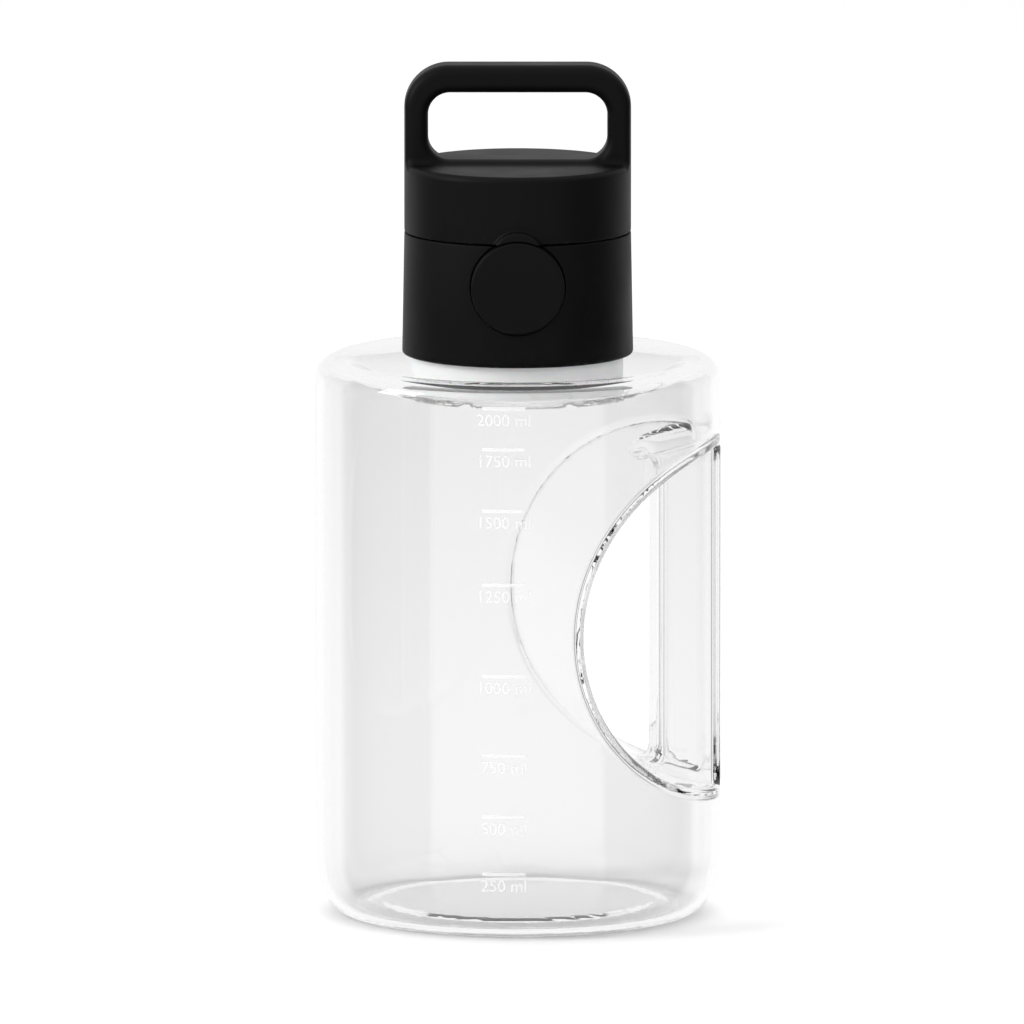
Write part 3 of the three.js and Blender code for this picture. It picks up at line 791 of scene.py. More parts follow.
def jug_skin(name, s, inset, top, cut, size):
    """One skin of the jug as a smooth mesh, open at the neck."""
    skin = turned(name, jug_outline(s, inset, top))
    carve(skin, scoop_tool(s, inset), "DIFFERENCE")
    field = jug_field(s, inset, top)
    fit_skin(skin, field, size)
    bm = bmesh.new()
    bm.from_mesh(skin.data)
    root = s.dish_radius - MM
    faces = [
        f for f in bm.faces
        if max(v.co.xy.length for v in f.verts) < root and f.calc_center_median().z > cut / 2
    ]
    edges = {e for f in faces for e in f.edges}
    verts = {v for f in faces for v in f.verts}
    bmesh.ops.bisect_plane(
        bm, geom=[*verts, *edges, *faces], dist=1e-6,
        plane_co=(0, 0, cut), plane_no=AXIS_Z, clear_outer=True,
    )
    for vert in bm.verts:
        if vert.is_boundary:
            neck = (s.neck_radius - inset) / math.hypot(vert.co.x, vert.co.y)
            vert.co = Vector((vert.co.x * neck, vert.co.y * neck, cut))
    bm.to_mesh(skin.data)
    bm.free()
    return skin, field


def boundary_edges(bm):
    return [e for e in bm.edges if e.is_boundary]


RIM_SPARE = 4 * MM  # how far the skins go on above the rim before they are cut


def build_jug(context):
    """The jug's two skins, joined round the neck's rim."""
    s, size = context.scene.jug_sizes, context.scene.jug_mesh.jug_voxel
    rim, top = JUG_HIGH.z, JUG_HIGH.z + RIM_SPARE
    cut = s.crest - s.dish_depth + 2 * s.neck_fillet
    outer, outer_field = jug_skin("outer_skin", s, 0.0, top, cut, size)
    inner, inner_field = jug_skin("inner_skin", s, s.wall, top, cut, size)
    inner_start = len(outer.data.vertices)
    bm = bmesh.new()
    bm.from_mesh(outer.data)
    outer_faces = len(bm.faces)
    bm.from_mesh(inner.data)
    bm.faces.ensure_lookup_table()
    bmesh.ops.reverse_faces(bm, faces=bm.faces[outer_faces:])
    body_count = len(bm.verts)
    raised = bmesh.ops.extrude_edge_only(bm, edges=boundary_edges(bm))["geom"]
    top_verts = [g for g in raised if isinstance(g, bmesh.types.BMVert)]
    for vert in top_verts:
        vert.co.z = rim
    bmesh.ops.bridge_loops(bm, edges=boundary_edges(bm))
    bmesh.ops.recalc_face_normals(bm, faces=bm.faces)
    for piece in (outer, inner):
        bpy.data.objects.remove(piece)
    jug = mesh_piece("clear_jug", bm)

    co = coordinates(jug.data)
    direction = np.empty_like(co)
    direction[:inner_start] = outer_field(co[:inner_start])[1]
    direction[inner_start:body_count] = -inner_field(co[inner_start:body_count])[1]
    neck = co[body_count:].copy()
    neck[:, 2] = 0
    reach = np.linalg.norm(neck, axis=1)
    outward = np.where(reach > s.neck_radius - s.wall / 2, 1.0, -1.0)
    direction[body_count:] = neck / reach[:, None] * outward[:, None]

    def on_rim(mesh):
        heights = np.array([p.center.z for p in mesh.polygons])
        return heights > rim - 0.01 * MM

    shade_by(jug.data, direction, on_rim)
    return jug


THREAD_ROOT = 0.1 * MM  # how deep a thread's foot is in its wall


def build_neck_thread(context):
    """The screw thread round the neck: a tapered ridge, wound up the neck."""
    s = context.scene.jug_sizes
    root, crest = s.neck_radius - THREAD_ROOT, s.neck_radius + s.thread_depth
    height = s.crest - s.dish_depth + s.thread_start
    return wound_ridge("neck_thread", root, crest, height, s.thread_pitch)


def wound_ridge(name, root, crest, height, pitch, turns=1.25, width=2.4 * MM):
    """A tapered ridge wound round Z, for a screw thread."""
    bm = bmesh.new()
    half, lip = width / 2, width / 4
    section = [
        bm.verts.new((r, 0, z))
        for r, z in (
            (root, height - half),
            (crest, height - lip),
            (crest, height + lip),
            (root, height + half),
        )
    ]
    edges = [bm.edges.new((section[i], section[(i + 1) % 4])) for i in range(4)]
    steps = round(turns * 120)
    bmesh.ops.spin(
        bm, geom=section + edges, cent=(0, 0, 0), axis=AXIS_Z,
        dvec=(0, 0, pitch * turns / steps), angle=2 * math.pi * turns, steps=steps,
    )
    bmesh.ops.holes_fill(bm, edges=boundary_edges(bm), sides=0)
    bmesh.ops.recalc_face_normals(bm, faces=bm.faces)
    return smooth_shaded(mesh_piece(name, bm))


def wrap(piece, radius, angle):
    """Bends a flat relief, drawn in X and Z and standing out along -Y, onto the jug's wall."""
    co = coordinates(piece.data)
    turn = co[:, 0] / radius + angle
    reach = radius - co[:, 1]
    wrapped = np.column_stack([reach * np.sin(turn), -reach * np.cos(turn), co[:, 2]])
    set_coordinates(piece.data, wrapped)
    return piece


MARK_STEP = 250  # ml
MARK_HEIGHTS = [h * MM for h in (22.8, 42.1, 62.7, 89.5, 120.3, 145.2, 165.9, 179.7)]
MARK_LIFT = 0.06 * MM  # keeps the marks clear of the jug's skin
FIGURE_DROP = 1.6 * MM  # from a bar's middle down to the top of its figures
FIGURE_SHARE = 0.75  # how tall a figure is, of the font's size


def mark_bar(s, height):
    """One bar, rounded along its edges."""
    half = s.mark_width / 2
    bm = bmesh.new()
    bmesh.ops.create_cube(bm, size=1.0)
    bmesh.ops.scale(bm, vec=(2 * half, s.mark_proud, s.mark_thick), verts=bm.verts)
    bmesh.ops.translate(bm, vec=(0, -s.mark_proud / 2 - MARK_LIFT, height), verts=bm.verts)
    bmesh.ops.bevel(
        bm, geom=bm.edges[:], offset=0.12 * MM, offset_type="OFFSET", segments=3,
        profile=0.5, affect="EDGES", material=-1,
    )
    long_edges = [e for e in bm.edges if abs(e.verts[0].co.x - e.verts[1].co.x) > half]
    bmesh.ops.subdivide_edges(bm, edges=long_edges, cuts=15, use_grid_fill=True)
    return mesh_piece("mark", bm)


def mark_figures(s, height, words):
    """Figures below a bar, such as 250 ml."""
    curve = bpy.data.curves.new("figures", "FONT")
    curve.body = words
    curve.size = s.figure_height
    curve.align_x = "CENTER"
    curve.extrude = s.mark_proud / 2
    curve.resolution_u = 4
    text = bpy.data.objects.new("figures", curve)
    bpy.context.scene.collection.objects.link(text)
    bpy.context.view_layer.update()
    graph = bpy.context.evaluated_depsgraph_get()
    mesh = bpy.data.meshes.new_from_object(text.evaluated_get(graph))
    bpy.data.objects.remove(text)
    bpy.data.curves.remove(curve)
    piece = bpy.data.objects.new("figures", mesh)
    bpy.context.scene.collection.objects.link(piece)
    place(piece, Matrix.Rotation(math.pi / 2, 4, "X"))
    foot = height - FIGURE_DROP - s.figure_height * FIGURE_SHARE
    place(piece, Matrix.Translation((0, -s.mark_proud / 2 - MARK_LIFT, foot)))
    bm = bmesh.new()
    bm.from_mesh(piece.data)
    bmesh.ops.remove_doubles(bm, verts=bm.verts, dist=0.01 * MM)
    bm.to_mesh(piece.data)
    bm.free()
    return piece


def join(name, parts):
    """Several pieces as one."""
    bm = bmesh.new()
    for part in parts:
        bm.from_mesh(part.data)
        bpy.data.objects.remove(part)
    return mesh_piece(name, bm)


def build_marks(context):
    """The volume marks in low relief on the jug's wall."""
    s = context.scene.jug_sizes
    parts = []
    for i, height in enumerate(MARK_HEIGHTS):
        parts.append(mark_bar(s, height))
        parts.append(mark_figures(s, height, f"{MARK_STEP * (i + 1)} ml"))
    marks = join("volume_marks", parts)
    wrap(marks, s.radius, s.mark_angle)
    return smooth_shaded(marks, 40)


# ---------------------------------------------------------------- the cap


SHARP = 0.1 * MM  # the rounding of an edge that is meant to look sharp
POCKET_BACK = -20 * MM  # the button's pocket is cut from the front to here
POCKET_FRONT = -60 * MM
POCKET_EDGE = 0.4 * MM


def button_cut_field(c, points):
    """The round pocket that the button moves in, at the front only."""
    bore = round_bar_field(points, (0.0, BUTTON_HEIGHT), BUTTON_RADIUS + c.button_gap, (0, 2))
    return round_max(bore, plane_field(points, (0, POCKET_BACK, 0), (0, 1, 0)), SHARP)


def button_cut_tool(c):
    start, end = (0, POCKET_FRONT, BUTTON_HEIGHT), (0, POCKET_BACK, BUTTON_HEIGHT)
    return rod("bore", BUTTON_RADIUS + c.button_gap, start, end)


def build_collar(context):
    """The lower, turning half of the cap."""
    c, size = context.scene.jug_cap, context.scene.jug_mesh.cap_voxel
    outline = collar_outline(c)
    collar = turned("cap_collar", outline)
    carve(collar, button_cut_tool(c), "DIFFERENCE")

    def field(points):
        wall = turned_field(points, outline)
        return round_max(wall, outside_of(button_cut_field(c, points)), POCKET_EDGE)

    fit_skin(collar, field, size, (12, 8))
    shade_by(collar.data, field(coordinates(collar.data))[1])
    return collar


def loop_field(c, points):
    """The carry loop: a round-cornered frame, its edges rounded, cut to the lid's own curve."""
    top, root = LID_HIGH.z, c.lid_top - c.lid_ceiling / 2
    side, depth = c.radius, c.loop_depth / 2
    low = root - 2 * c.loop_round
    outer = round_box_field(points, (-side, low), (side, top), c.loop_round, (0, 2))
    hole = round_box_field(
        points,
        (-side + c.loop_leg, c.lid_top + c.loop_sill),
        (side - c.loop_leg, top - c.loop_bar),
        c.hole_round,
        (0, 2),
    )
    frame_outline = round_max(outer, outside_of(hole), SHARP)
    thick = round_max(
        plane_field(points, (0, depth, 0), (0, 1, 0)),
        plane_field(points, (0, -depth, 0), (0, -1, 0)),
        0.0,
    )
    loop = round_max(frame_outline, thick, c.loop_edge)
    return round_max(loop, plane_field(points, (0, 0, root), (0, 0, -1)), SHARP)


LOOP_TRIM = 0.3 * MM  # keeps the rough loop within the lid's round


def loop_tool(c):
    """A rough solid of the carry loop."""
    top, root = LID_HIGH.z, c.lid_top - c.lid_ceiling / 2
    depth, side, low = c.loop_depth / 2, c.radius - LOOP_TRIM, root - 2 * c.loop_round
    loop = block("loop", (-side, -depth, low), (side, depth, top), c.loop_round, AXIS_Y)
    hole = block(
        "hole",
        (-side + c.loop_leg, -2 * depth, c.lid_top + c.loop_sill),
        (side - c.loop_leg, 2 * depth, top - c.loop_bar),
        c.hole_round,
        AXIS_Y,
    )
    carve(loop, hole, "DIFFERENCE")
    below = block("below", (-2 * side, -2 * depth, 0), (2 * side, 2 * depth, root))
    carve(loop, below, "DIFFERENCE")
    return loop


HOOD_SETBACK = 0.6 * MM  # the hood's front behind the button's face
HOOD_EDGE, HOOD_FILLET = 1.3 * MM, 1.0 * MM  # the hood's front edge, and its foot on the lid


def hood_places(c):
    """Height of the hood's round, and where its front is."""
    return BUTTON_HIGH.z + c.hood_rise - c.hood_radius, BUTTON_LOW.y + HOOD_SETBACK


def build_lid(context):
    """The lid with its carry loop and the small hood over the button, in one moulding."""
    c, size = context.scene.jug_cap, context.scene.jug_mesh.cap_voxel
    outline = lid_outline(c)
    hood_height, hood_front = hood_places(c)
    back = -c.radius + c.wall
    lid = turned("lid_and_loop", outline)
    carve(lid, loop_tool(c), "UNION")
    hood = rod("hood", c.hood_radius, (0, hood_front, hood_height), (0, back, hood_height))
    below = block("below", (POCKET_BACK, POCKET_FRONT, 0), (-POCKET_BACK, 0, LID_FOOT))
    carve(hood, below, "DIFFERENCE")
    carve(lid, hood, "UNION")
    carve(lid, button_cut_tool(c), "DIFFERENCE")

    def field(points):
        shell = turned_field(points, outline)
        joined = round_min(shell, loop_field(c, points), c.loop_fillet)
        joined = round_max(joined, round_bar_field(points, (0.0, 0.0), c.radius, (0, 1)), 0.0)
        bump = round_bar_field(points, (0.0, hood_height), c.hood_radius, (0, 2))
        bump = round_max(bump, plane_field(points, (0, hood_front, 0), (0, -1, 0)), HOOD_EDGE)
        bump = round_max(bump, plane_field(points, (0, back, 0), (0, 1, 0)), SHARP)
        joined = round_min(joined, bump, HOOD_FILLET)
        joined = round_max(joined, plane_field(points, (0, 0, LID_FOOT), (0, 0, -1)), SHARP)
        return round_max(joined, outside_of(button_cut_field(c, points)), POCKET_EDGE)

    fit_skin(lid, field, size, (12, 8))
    shade_by(lid.data, field(coordinates(lid.data))[1])
    return lid


BUTTON_FACE, BUTTON_WALL = 2.2 * MM, 2 * MM  # how thick the button's face and skirt are
BUTTON_TRIM = 2.2 * MM  # from the node's back forward to the end of the skirt
BUTTON_CHAMFER = 0.2 * MM
DISH_SHARE = 0.86  # of the button's radius


def build_button(context):
    """The round push button, with a faint dish for the thumb."""
    c, steps = context.scene.jug_cap, context.scene.jug_mesh.turned_steps
    radius, face, r = BUTTON_RADIUS, -BUTTON_LOW.y, c.button_edge
    bore, ceiling, skirt = radius - BUTTON_WALL, face - BUTTON_FACE, -BUTTON_HIGH.y + BUTTON_TRIM
    dish = [
        (radius * k * DISH_SHARE, face - c.button_dish * (1 + math.cos(math.pi * k)) / 2)
        for k in np.linspace(1, 0, 13)
    ]
    outline = [
        (0.0, ceiling),
        (bore, ceiling),
        (bore, skirt),
        (radius - BUTTON_CHAMFER, skirt),
        (radius, skirt + BUTTON_CHAMFER),
        *arc((radius - r, face - r), (r, r), 0, 90, 8),
        *dish,
    ]
    button = turned("push_button", outline, steps)
    turn = Matrix.Translation((0, 0, BUTTON_HEIGHT)) @ Matrix.Rotation(math.pi / 2, 4, "X")
    return smooth_shaded(place(button, turn))


INNER_WALL, INNER_CEILING, INNER_EDGE = 1.6 * MM, 2 * MM, 0.45 * MM
INNER_LIP = 21 * MM  # radius of the hole in the inner cap's top
THREAD_ROOM = 0.5 * MM  # between the neck and the inner cap's thread


def build_inner_cap(context):
    """The white threaded skirt inside the cap, seen below the collar."""
    s, steps = context.scene.jug_sizes, context.scene.jug_mesh.turned_steps
    foot, top, radius = LINER_LOW.z, LINER_HIGH.z, LINER_HIGH.x
    bore, lip, ceiling = radius - INNER_WALL, INNER_LIP, top - INNER_CEILING
    r = INNER_EDGE
    outline = [
        *arc((bore + r, foot + r), (r, r), 180, 270, 5),
        *arc((radius - r, foot + r), (r, r), 270, 360, 5),
        *arc((radius - r, top - r), (r, r), 0, 90, 5),
        *arc((lip + r, top - r), (r, r), 90, 180, 5),
        *arc((lip + r, ceiling + r), (r, r), 180, 270, 5),
        *arc((bore - r, ceiling - r), (r, r), 90, 0, 5),
    ]
    skirt = smooth_shaded(turned("inner_cap", [*outline, outline[0]], steps))
    height = s.crest - s.dish_depth + s.thread_start - s.thread_pitch / 2
    root, crest = bore + THREAD_ROOT, s.neck_radius + THREAD_ROOM
    ridge = wound_ridge("inner_thread", root, crest, height, s.thread_pitch)
    return skirt, ridge


LID_KNUCKLES = (4.6 * MM, 8 * MM)  # from the middle out, on both sides
COLLAR_KNUCKLES = (8.3 * MM, PIN_HIGH.x)
KNUCKLE_EDGE = 0.3 * MM
WEB_START, WEB_END = 1 * MM, 9 * MM  # a web's reach up or down from the pin
HOLLOW_RADIUS, HOLLOW_BACK, HOLLOW_RISE = 9 * MM, 7.4 * MM, 9.6 * MM  # of a web's curve
CLEAR = 30 * MM  # more than a knuckle's height


def both_sides(reach):
    """A pair of spans along X, one on each side of the middle."""
    return [tuple(sorted((side * reach[0], side * reach[1]))) for side in (-1, 1)]


def build_knuckles(context, name, spans, up):
    """Hinge knuckles with their webs: up is 1 on the lid and -1 on the collar."""
    c = context.scene.jug_cap
    radius, bore = c.knuckle_radius, (PIN_HIGH.z - PIN_LOW.z) / 2 + c.pin_gap
    wall = c.radius - c.wall / 2
    parts = []
    for x0, x1 in spans:
        barrel = rod("barrel", radius, (x0, HINGE.y, HINGE.z), (x1, HINGE.y, HINGE.z), 48)
        heights = sorted((HINGE.z + up * WEB_START, HINGE.z + up * WEB_END))
        web = block("web", (x0, wall, heights[0]), (x1, HINGE.y + 0.7 * radius, heights[1]))
        centre = (HINGE.y + HOLLOW_BACK, HINGE.z + up * HOLLOW_RISE)
        hollow = rod("hollow", HOLLOW_RADIUS, (x0 - MM, *centre), (x1 + MM, *centre), 96)
        carve(web, hollow, "DIFFERENCE")
        carve(barrel, web, "UNION")
        pin = (x0 - MM, HINGE.y, HINGE.z), (x1 + MM, HINGE.y, HINGE.z)
        carve(barrel, rod("pin", bore, *pin, 48), "DIFFERENCE")
        axis = (0, 0, HINGE.z - CLEAR), (0, 0, HINGE.z + CLEAR)
        carve(barrel, rod("inside", c.radius - c.wall, *axis, 160), "DIFFERENCE")
        parts.append(barrel)
    knuckles = join(name, parts)
    edge = knuckles.modifiers.new("edges", "BEVEL")
    edge.width = KNUCKLE_EDGE
    edge.segments = 3
    edge.limit_method = "ANGLE"
    edge.angle_limit = math.radians(50)
    settle(knuckles)
    return smooth_shaded(knuckles)


LATCH_WIRE, LATCH_TURNS = 0.5 * MM, 2.0
TWIST_WIRE, TWIST_TURNS = 0.9 * MM, 4.0


def build_latch_springs():
    """The two springs that push the button out. Their inner ends rest on the chamber's wall."""
    springs = []
    for name in ("latch_spring_left", "latch_spring_right"):
        low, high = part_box(name)
        radius = (high.x - low.x - LATCH_WIRE) / 2
        pitch = (high.y - low.y - LATCH_WIRE) / LATCH_TURNS
        spring = coil(name + "_coil", radius, LATCH_WIRE, LATCH_TURNS, pitch)
        centre = Vector(((low.x + high.x) / 2, low.y + LATCH_WIRE / 2, (low.z + high.z) / 2))
        place(spring, Matrix.Translation(centre) @ Matrix.Rotation(-math.pi / 2, 4, "X"))
        springs.append((name, smooth_shaded(spring), high))
    return springs


def build_torsion_spring():
    """The coil round the hinge pin that swings the lid open."""
    radius = (TWIST_HIGH.z - TWIST_LOW.z - TWIST_WIRE) / 2
    reach = TWIST_HIGH.x - TWIST_LOW.x - TWIST_WIRE
    spring = coil("hinge_spring", radius, TWIST_WIRE, TWIST_TURNS, reach / TWIST_TURNS)
    start = Vector((TWIST_LOW.x + TWIST_WIRE / 2, HINGE.y, HINGE.z))
    place(spring, Matrix.Translation(start) @ Matrix.Rotation(math.pi / 2, 4, "Y"))
    return smooth_shaded(spring)


SHARP_ANGLE = 31  # degrees, past which an edge of a faceted solid is shown sharp
MERGE_WITHIN = 0.001 * MM


def soft_shading():
    """A geometry node group that shades a faceted solid smooth, apart from its sharp edges."""
    name = "soft shading"
    if name in bpy.data.node_groups:
        return bpy.data.node_groups[name]
    group = bpy.data.node_groups.new(name, "GeometryNodeTree")
    group.interface.new_socket("Geometry", in_out="INPUT", socket_type="NodeSocketGeometry")
    group.interface.new_socket("Geometry", in_out="OUTPUT", socket_type="NodeSocketGeometry")
    nodes, links = group.nodes, group.links
    inputs, outputs = nodes.new("NodeGroupInput"), nodes.new("NodeGroupOutput")
    merge = nodes.new("GeometryNodeMergeByDistance")
    merge.inputs["Distance"].default_value = MERGE_WITHIN
    faces = nodes.new("GeometryNodeSetShadeSmooth")
    edges = nodes.new("GeometryNodeSetShadeSmooth")
    edges.domain = "EDGE"
    edges.inputs["Shade Smooth"].default_value = False
    angle = nodes.new("GeometryNodeInputMeshEdgeAngle")
    sharp = nodes.new("FunctionNodeCompare")
    sharp.operation = "GREATER_THAN"
    sharp.inputs["B"].default_value = math.radians(SHARP_ANGLE)
    links.new(inputs.outputs["Geometry"], merge.inputs["Geometry"])
    links.new(merge.outputs["Geometry"], faces.inputs["Geometry"])
    links.new(faces.outputs["Geometry"], edges.inputs["Geometry"])
    links.new(angle.outputs["Unsigned Angle"], sharp.inputs["A"])
    links.new(sharp.outputs["Result"], edges.inputs["Selection"])
    links.new(edges.outputs["Geometry"], outputs.inputs["Geometry"])
    return group


# ---------------------------------------------------------------- operators


class JUG_OT_clear_jug(bpy.types.Operator):
    """Build the clear jug with its grip"""

    bl_idname = "jug.clear_jug"
    bl_label = "Clear Jug"

    def execute(self, context):
        clear = material_set(context)["clear plastic"]
        finish_piece(build_jug(context), "jug", clear, "clear_plastic", "jug_body")
        finish_piece(build_neck_thread(context), "jug", clear, "clear_plastic", "jug_body")
        return {"FINISHED"}


class JUG_OT_volume_marks(bpy.types.Operator):
    """Build the volume marks on the jug's wall"""

    bl_idname = "jug.volume_marks"
    bl_label = "Volume Marks"

    def execute(self, context):
        frosted = material_set(context)["frosted marks"]
        finish_piece(build_marks(context), "jug", frosted, "clear_plastic", "jug_body")
        return {"FINISHED"}


class JUG_OT_collar(bpy.types.Operator):
    """Build the cap's collar, its white inner cap and the collar's hinge knuckles"""

    bl_idname = "jug.collar"
    bl_label = "Collar"

    def execute(self, context):
        materials = material_set(context)
        black, white = materials["satin black plastic"], materials["white plastic"]
        finish_piece(build_collar(context), "cap", black, "black_plastic", "collar")
        for piece in build_inner_cap(context):
            finish_piece(piece, "cap", white, "white_plastic", "threaded_liner")
        knuckles = build_knuckles(context, "collar_knuckles", both_sides(COLLAR_KNUCKLES), -1)
        finish_piece(knuckles, "cap", black, "black_plastic", "collar")
        return {"FINISHED"}


class JUG_OT_lid(bpy.types.Operator):
    """Build the lid with its carry loop and hinge knuckles"""

    bl_idname = "jug.lid"
    bl_label = "Lid and Loop"

    def execute(self, context):
        black = material_set(context)["satin black plastic"]
        finish_piece(build_lid(context), "lid", black, "black_plastic", "lid_shell")
        knuckles = build_knuckles(context, "lid_knuckles", both_sides(LID_KNUCKLES), 1)
        finish_piece(knuckles, "lid", black, "black_plastic", "lid_shell")
        return {"FINISHED"}


class JUG_OT_button(bpy.types.Operator):
    """Build the push button"""

    bl_idname = "jug.button"
    bl_label = "Push Button"

    def execute(self, context):
        black = material_set(context)["satin black plastic"]
        finish_piece(build_button(context), "latch", black, "black_plastic", "button_cap")
        return {"FINISHED"}


class JUG_OT_springs(bpy.types.Operator):
    """Build the latch's and the hinge's springs"""

    bl_idname = "jug.springs"
    bl_label = "Springs"

    def execute(self, context):
        steel = material_set(context)["drawn steel"]
        for node, spring, high in build_latch_springs():
            finish_piece(spring, "cap", steel, "steel", node)
            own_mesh(spring)
        spring = finish_piece(build_torsion_spring(), None, steel, "steel", "torsion_spring")
        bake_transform(spring)
        return {"FINISHED"}


class JUG_OT_inner_parts(bpy.types.Operator):
    """Finish the parts inside the cap"""

    bl_idname = "jug.inner_parts"
    bl_label = "Inner Parts"

    def execute(self, context):
        materials = material_set(context)
        finishes = {
            "satin black plastic": ("spout_deck", "lid_liner"),
            "white plastic": ("latch_slide",),
            "pale silicone": ("neck_gasket", "deck_seal", "vent_valve", "spout_seal"),
            "drawn steel": ("hinge_pin",),
        }
        for material, nodes in finishes.items():
            for name in nodes:
                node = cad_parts[name]
                if not node.material_slots:
                    node.data.materials.append(None)
                for slot in node.material_slots:
                    slot.material = materials[material]
                step = node.modifiers.new("soft shading", "NODES")
                step.node_group = soft_shading()
        return {"FINISHED"}


BOUNCES = 32  # enough for light that is mirrored within the clear walls


class JUG_OT_stage(bpy.types.Operator):
    """Set up the pale floor, the soft light and the camera"""

    bl_idname = "jug.stage"
    bl_label = "Studio"

    def execute(self, context):
        build_floor(context)
        build_world(context)
        build_lamps()
        build_camera(context)
        context.scene.view_settings.view_transform = "Standard"
        cycles = context.scene.cycles
        cycles.max_bounces = cycles.glossy_bounces = cycles.transmission_bounces = BOUNCES
        cycles.transparent_max_bounces = BOUNCES // 2
        return {"FINISHED"}


def mirrored_mask(nodes):
    """1 or more for light that has been mirrored on its way to the camera, otherwise 0."""
    path = nodes.new("ShaderNodeLightPath")
    return path.outputs["Glossy Depth"]


def worked_out(nodes, links, operation, *values):
    """What a maths node makes of its values, which are sockets or numbers."""
    node = nodes.new("ShaderNodeMath")
    node.operation = operation
    for place_in, value in zip(node.inputs, values):
        if isinstance(value, bpy.types.NodeSocket):
            links.new(value, place_in)
        else:
            place_in.default_value = value
    return node.outputs["Value"]


def crossed_mask(nodes, links, crossings):
    """1 for light that crosses the clear skins more often than that on its way to the camera."""
    count = nodes.new("ShaderNodeLightPath").outputs["Transmission Depth"]
    return worked_out(nodes, links, "GREATER_THAN", count, crossings)


def two_tones(nodes, links, mask, first, second):
    """The first colour where the mask is 0, and the second where it is 1."""
    node = nodes.new("ShaderNodeMix")
    node.data_type = "RGBA"
    links.new(mask, node.inputs["Factor"])
    for name, tone in (("A", first), ("B", second)):
        if isinstance(tone, bpy.types.NodeSocket):
            links.new(tone, node.inputs[name])
        else:
            node.inputs[name].default_value = (*tone, 1)
    return node.outputs["Result"]


BOTH_WALLS = 3  # light that crosses more skins than this has been through both of the jug's walls
PAINTED_SHADE_THROUGH_WALLS = 0.86  # painted shade: how bright the studio is painted through both walls
WHITE = 1.07  # how bright the studio is all round
FLOOR_RADIUS = 3.2
# What the glossy parts mirror: (share of the way from the front round to the back, level).
BANDS = ((0.0, 0.8), (0.28, 0.74), (0.29, 0.08), (0.64, 0.04), (0.68, 1.0), (1.0, 1.0))


def build_floor(context):
    """A wide pale floor that casts no image of itself in the glossy parts."""
    bm = bmesh.new()
    bmesh.ops.create_circle(bm, cap_ends=True, segments=96, radius=FLOOR_RADIUS)
    floor = mesh_piece("floor", bm)
    material, nodes, links, shader = new_material("pale floor")
    tone = context.scene.jug_finishes.floor
    # Painted shade: the floor's colour is painted darker where it is seen through both of the
    # jug's walls.
    painted_shade_mask = crossed_mask(nodes, links, BOTH_WALLS)
    floor_with_painted_shade = two_tones(nodes, links, painted_shade_mask, tone, [v * PAINTED_SHADE_THROUGH_WALLS for v in tone])
    links.new(floor_with_painted_shade, shader.inputs["Base Color"])
    shader.inputs["Roughness"].default_value = 0.9
    shader.inputs["Specular IOR Level"].default_value = 0.1
    vanishing(nodes, links, shader, mirrored_mask(nodes))
    floor.data.materials.append(material)


def build_world(context):
    """White all round, but what the glossy parts mirror is a studio: a soft front, darker sides
    and a white back. Seen through both of the jug's walls, the white is painted darker."""
    world = bpy.data.worlds.new("studio")
    context.scene.world = world
    world.use_nodes = True
    nodes, links = world.node_tree.nodes, world.node_tree.links
    nodes.clear()
    where = nodes.new("ShaderNodeTexCoord")
    parts = nodes.new("ShaderNodeSeparateXYZ")
    links.new(where.outputs["Generated"], parts.inputs["Vector"])
    forward = worked_out(nodes, links, "MULTIPLY", parts.outputs["Y"], -1.0)
    turn = worked_out(nodes, links, "ARCTAN2", parts.outputs["X"], forward)
    away = worked_out(nodes, links, "ABSOLUTE", turn)
    share = worked_out(nodes, links, "DIVIDE", away, math.pi)
    bands = nodes.new("ShaderNodeValToRGB")
    links.new(share, bands.inputs["Fac"])
    ramp = bands.color_ramp
    while len(ramp.elements) < len(BANDS):
        ramp.elements.new(0.5)
    for element, (place_at, level) in zip(ramp.elements, BANDS):
        element.position = place_at
        element.color = (level, level, level, 1)
    steep = worked_out(nodes, links, "ABSOLUTE", parts.outputs["Z"])
    overhead = span(nodes, links, steep, 0.0, 1.0, 0.35, 0.6)
    dim = span(nodes, links, parts.outputs["Z"], 1.0, 0.9, -0.06, 0.08)
    level_round = two_tones(nodes, links, dim, (0, 0, 0), bands.outputs["Color"])
    around = two_tones(nodes, links, overhead, level_round, (0.9, 0.9, 0.9))
    soft = worked_out(nodes, links, "MULTIPLY", crossed_mask(nodes, links, 0), 0.4)
    around = two_tones(nodes, links, soft, around, (1, 1, 1))
    # Painted shade: the white backdrop is painted darker where it is seen through both of the
    # jug's walls.
    painted_shade_mask = crossed_mask(nodes, links, BOTH_WALLS)
    white_with_painted_shade = two_tones(nodes, links, painted_shade_mask, [WHITE] * 3, [WHITE * PAINTED_SHADE_THROUGH_WALLS] * 3)
    seen = two_tones(nodes, links, mirrored_mask(nodes), white_with_painted_shade, around)
    background = nodes.new("ShaderNodeBackground")
    links.new(seen, background.inputs["Color"])
    output = nodes.new("ShaderNodeOutputWorld")
    links.new(background.outputs["Background"], output.inputs["Surface"])


def lamp(name, place_at, aim, size, power):
    """A square soft light."""
    data = bpy.data.lights.new(name, "AREA")
    data.shape = "SQUARE"
    data.size = size
    data.energy = power
    light = bpy.data.objects.new(name, data)
    bpy.context.scene.collection.objects.link(light)
    light.location = place_at
    light.rotation_euler = (Vector(aim) - Vector(place_at)).to_track_quat("-Z", "Y").to_euler()
    return light


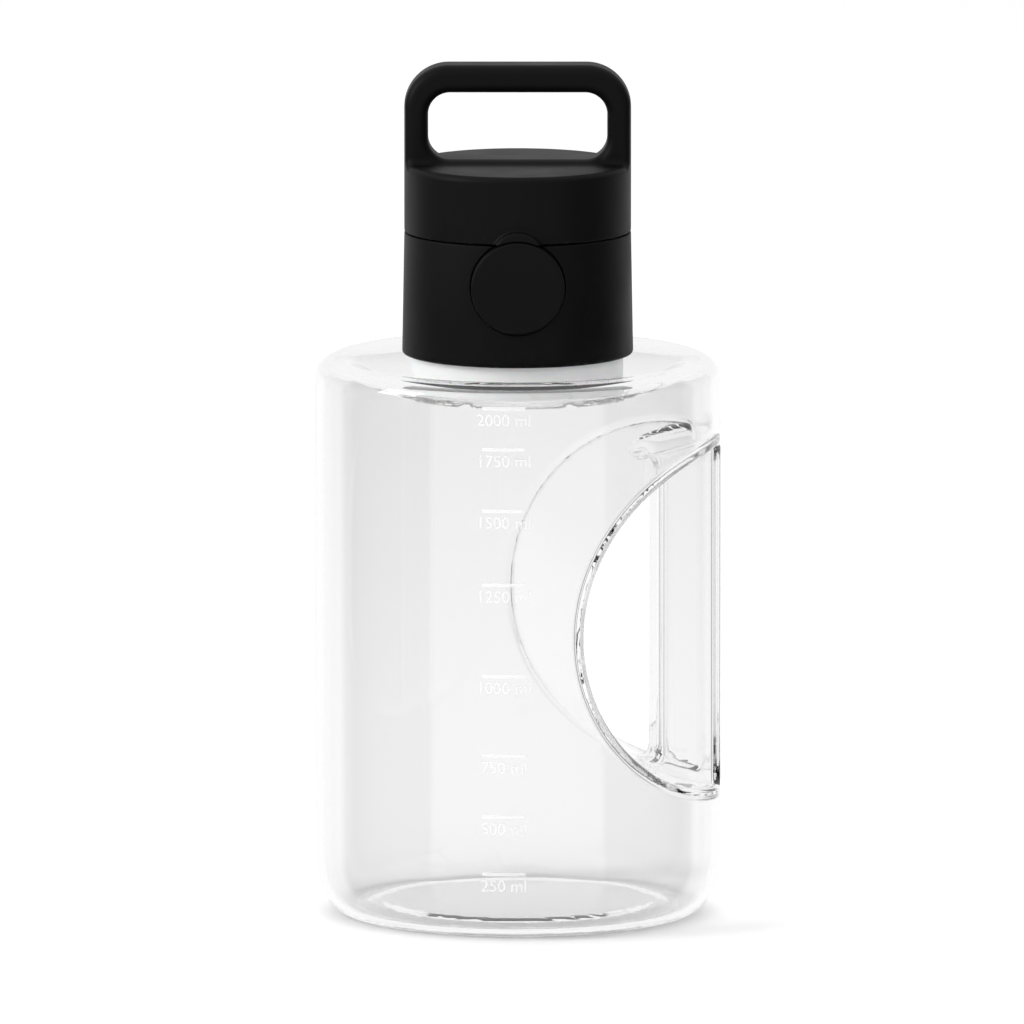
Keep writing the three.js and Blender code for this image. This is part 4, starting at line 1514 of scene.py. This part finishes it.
def build_lamps():
    """A soft light overhead for the floor, and one high on the left for the black cap's side."""
    overhead = lamp("overhead", (-0.2, 0.1, 1.9), (0, 0, 0.1), 1.4, 9.0)
    side = lamp("left", (-2.2, -0.6, 1.25), (0, 0, 0.2), 1.1, 30.0)
    for light in (overhead, side):
        light.visible_camera = False
        light.visible_transmission = False
    overhead.visible_glossy = False


def build_camera(context):
    """A far camera with a long lens, a little above the jug."""
    data = bpy.data.cameras.new("camera")
    camera = bpy.data.objects.new("camera", data)
    context.scene.collection.objects.link(camera)
    context.scene.camera = camera
    elevation, distance, width = math.radians(8.4), 12.0, 0.343
    aim = Vector((-1.9 * MM, 0, 0.1350))
    camera.location = aim + distance * Vector((0, -math.cos(elevation), math.sin(elevation)))
    camera.rotation_euler = (aim - camera.location).to_track_quat("-Z", "Y").to_euler()
    data.sensor_width = 36.0
    data.lens = data.sensor_width * distance / width
    data.clip_end = 60.0


OPERATORS = (
    JUG_OT_stage,
    JUG_OT_clear_jug,
    JUG_OT_volume_marks,
    JUG_OT_collar,
    JUG_OT_lid,
    JUG_OT_button,
    JUG_OT_springs,
    JUG_OT_inner_parts,
)
GROUPS = {
    "jug_sizes": JugSizes,
    "jug_cap": CapSizes,
    "jug_mesh": MeshSizes,
    "jug_finishes": Finishes,
}


class JUG_PT_sidebar(bpy.types.Panel):
    """Sizes, colours and the steps that build the jug"""

    bl_idname = "JUG_PT_sidebar"
    bl_label = "Clear Water Jug"
    bl_space_type = "VIEW_3D"
    bl_region_type = "UI"
    bl_category = "Jug"

    def draw(self, context):
        for operator in OPERATORS:
            self.layout.operator(operator.bl_idname)
        for name in GROUPS:
            box = self.layout.box()
            group = getattr(context.scene, name)
            for value in group.__annotations__:
                box.prop(group, value)


CLASSES = (*GROUPS.values(), *OPERATORS, JUG_PT_sidebar)


def register():
    for cls in CLASSES:
        bpy.utils.register_class(cls)
    for name, group in GROUPS.items():
        setattr(bpy.types.Scene, name, PointerProperty(type=group))


def unregister():
    for name in GROUPS:
        delattr(bpy.types.Scene, name)
    for cls in reversed(CLASSES):
        bpy.utils.unregister_class(cls)


def main():
    register()
    for operator in OPERATORS:
        category, name = operator.bl_idname.split(".")
        getattr(getattr(bpy.ops, category), name)()


if __name__ == "__main__":
    main()
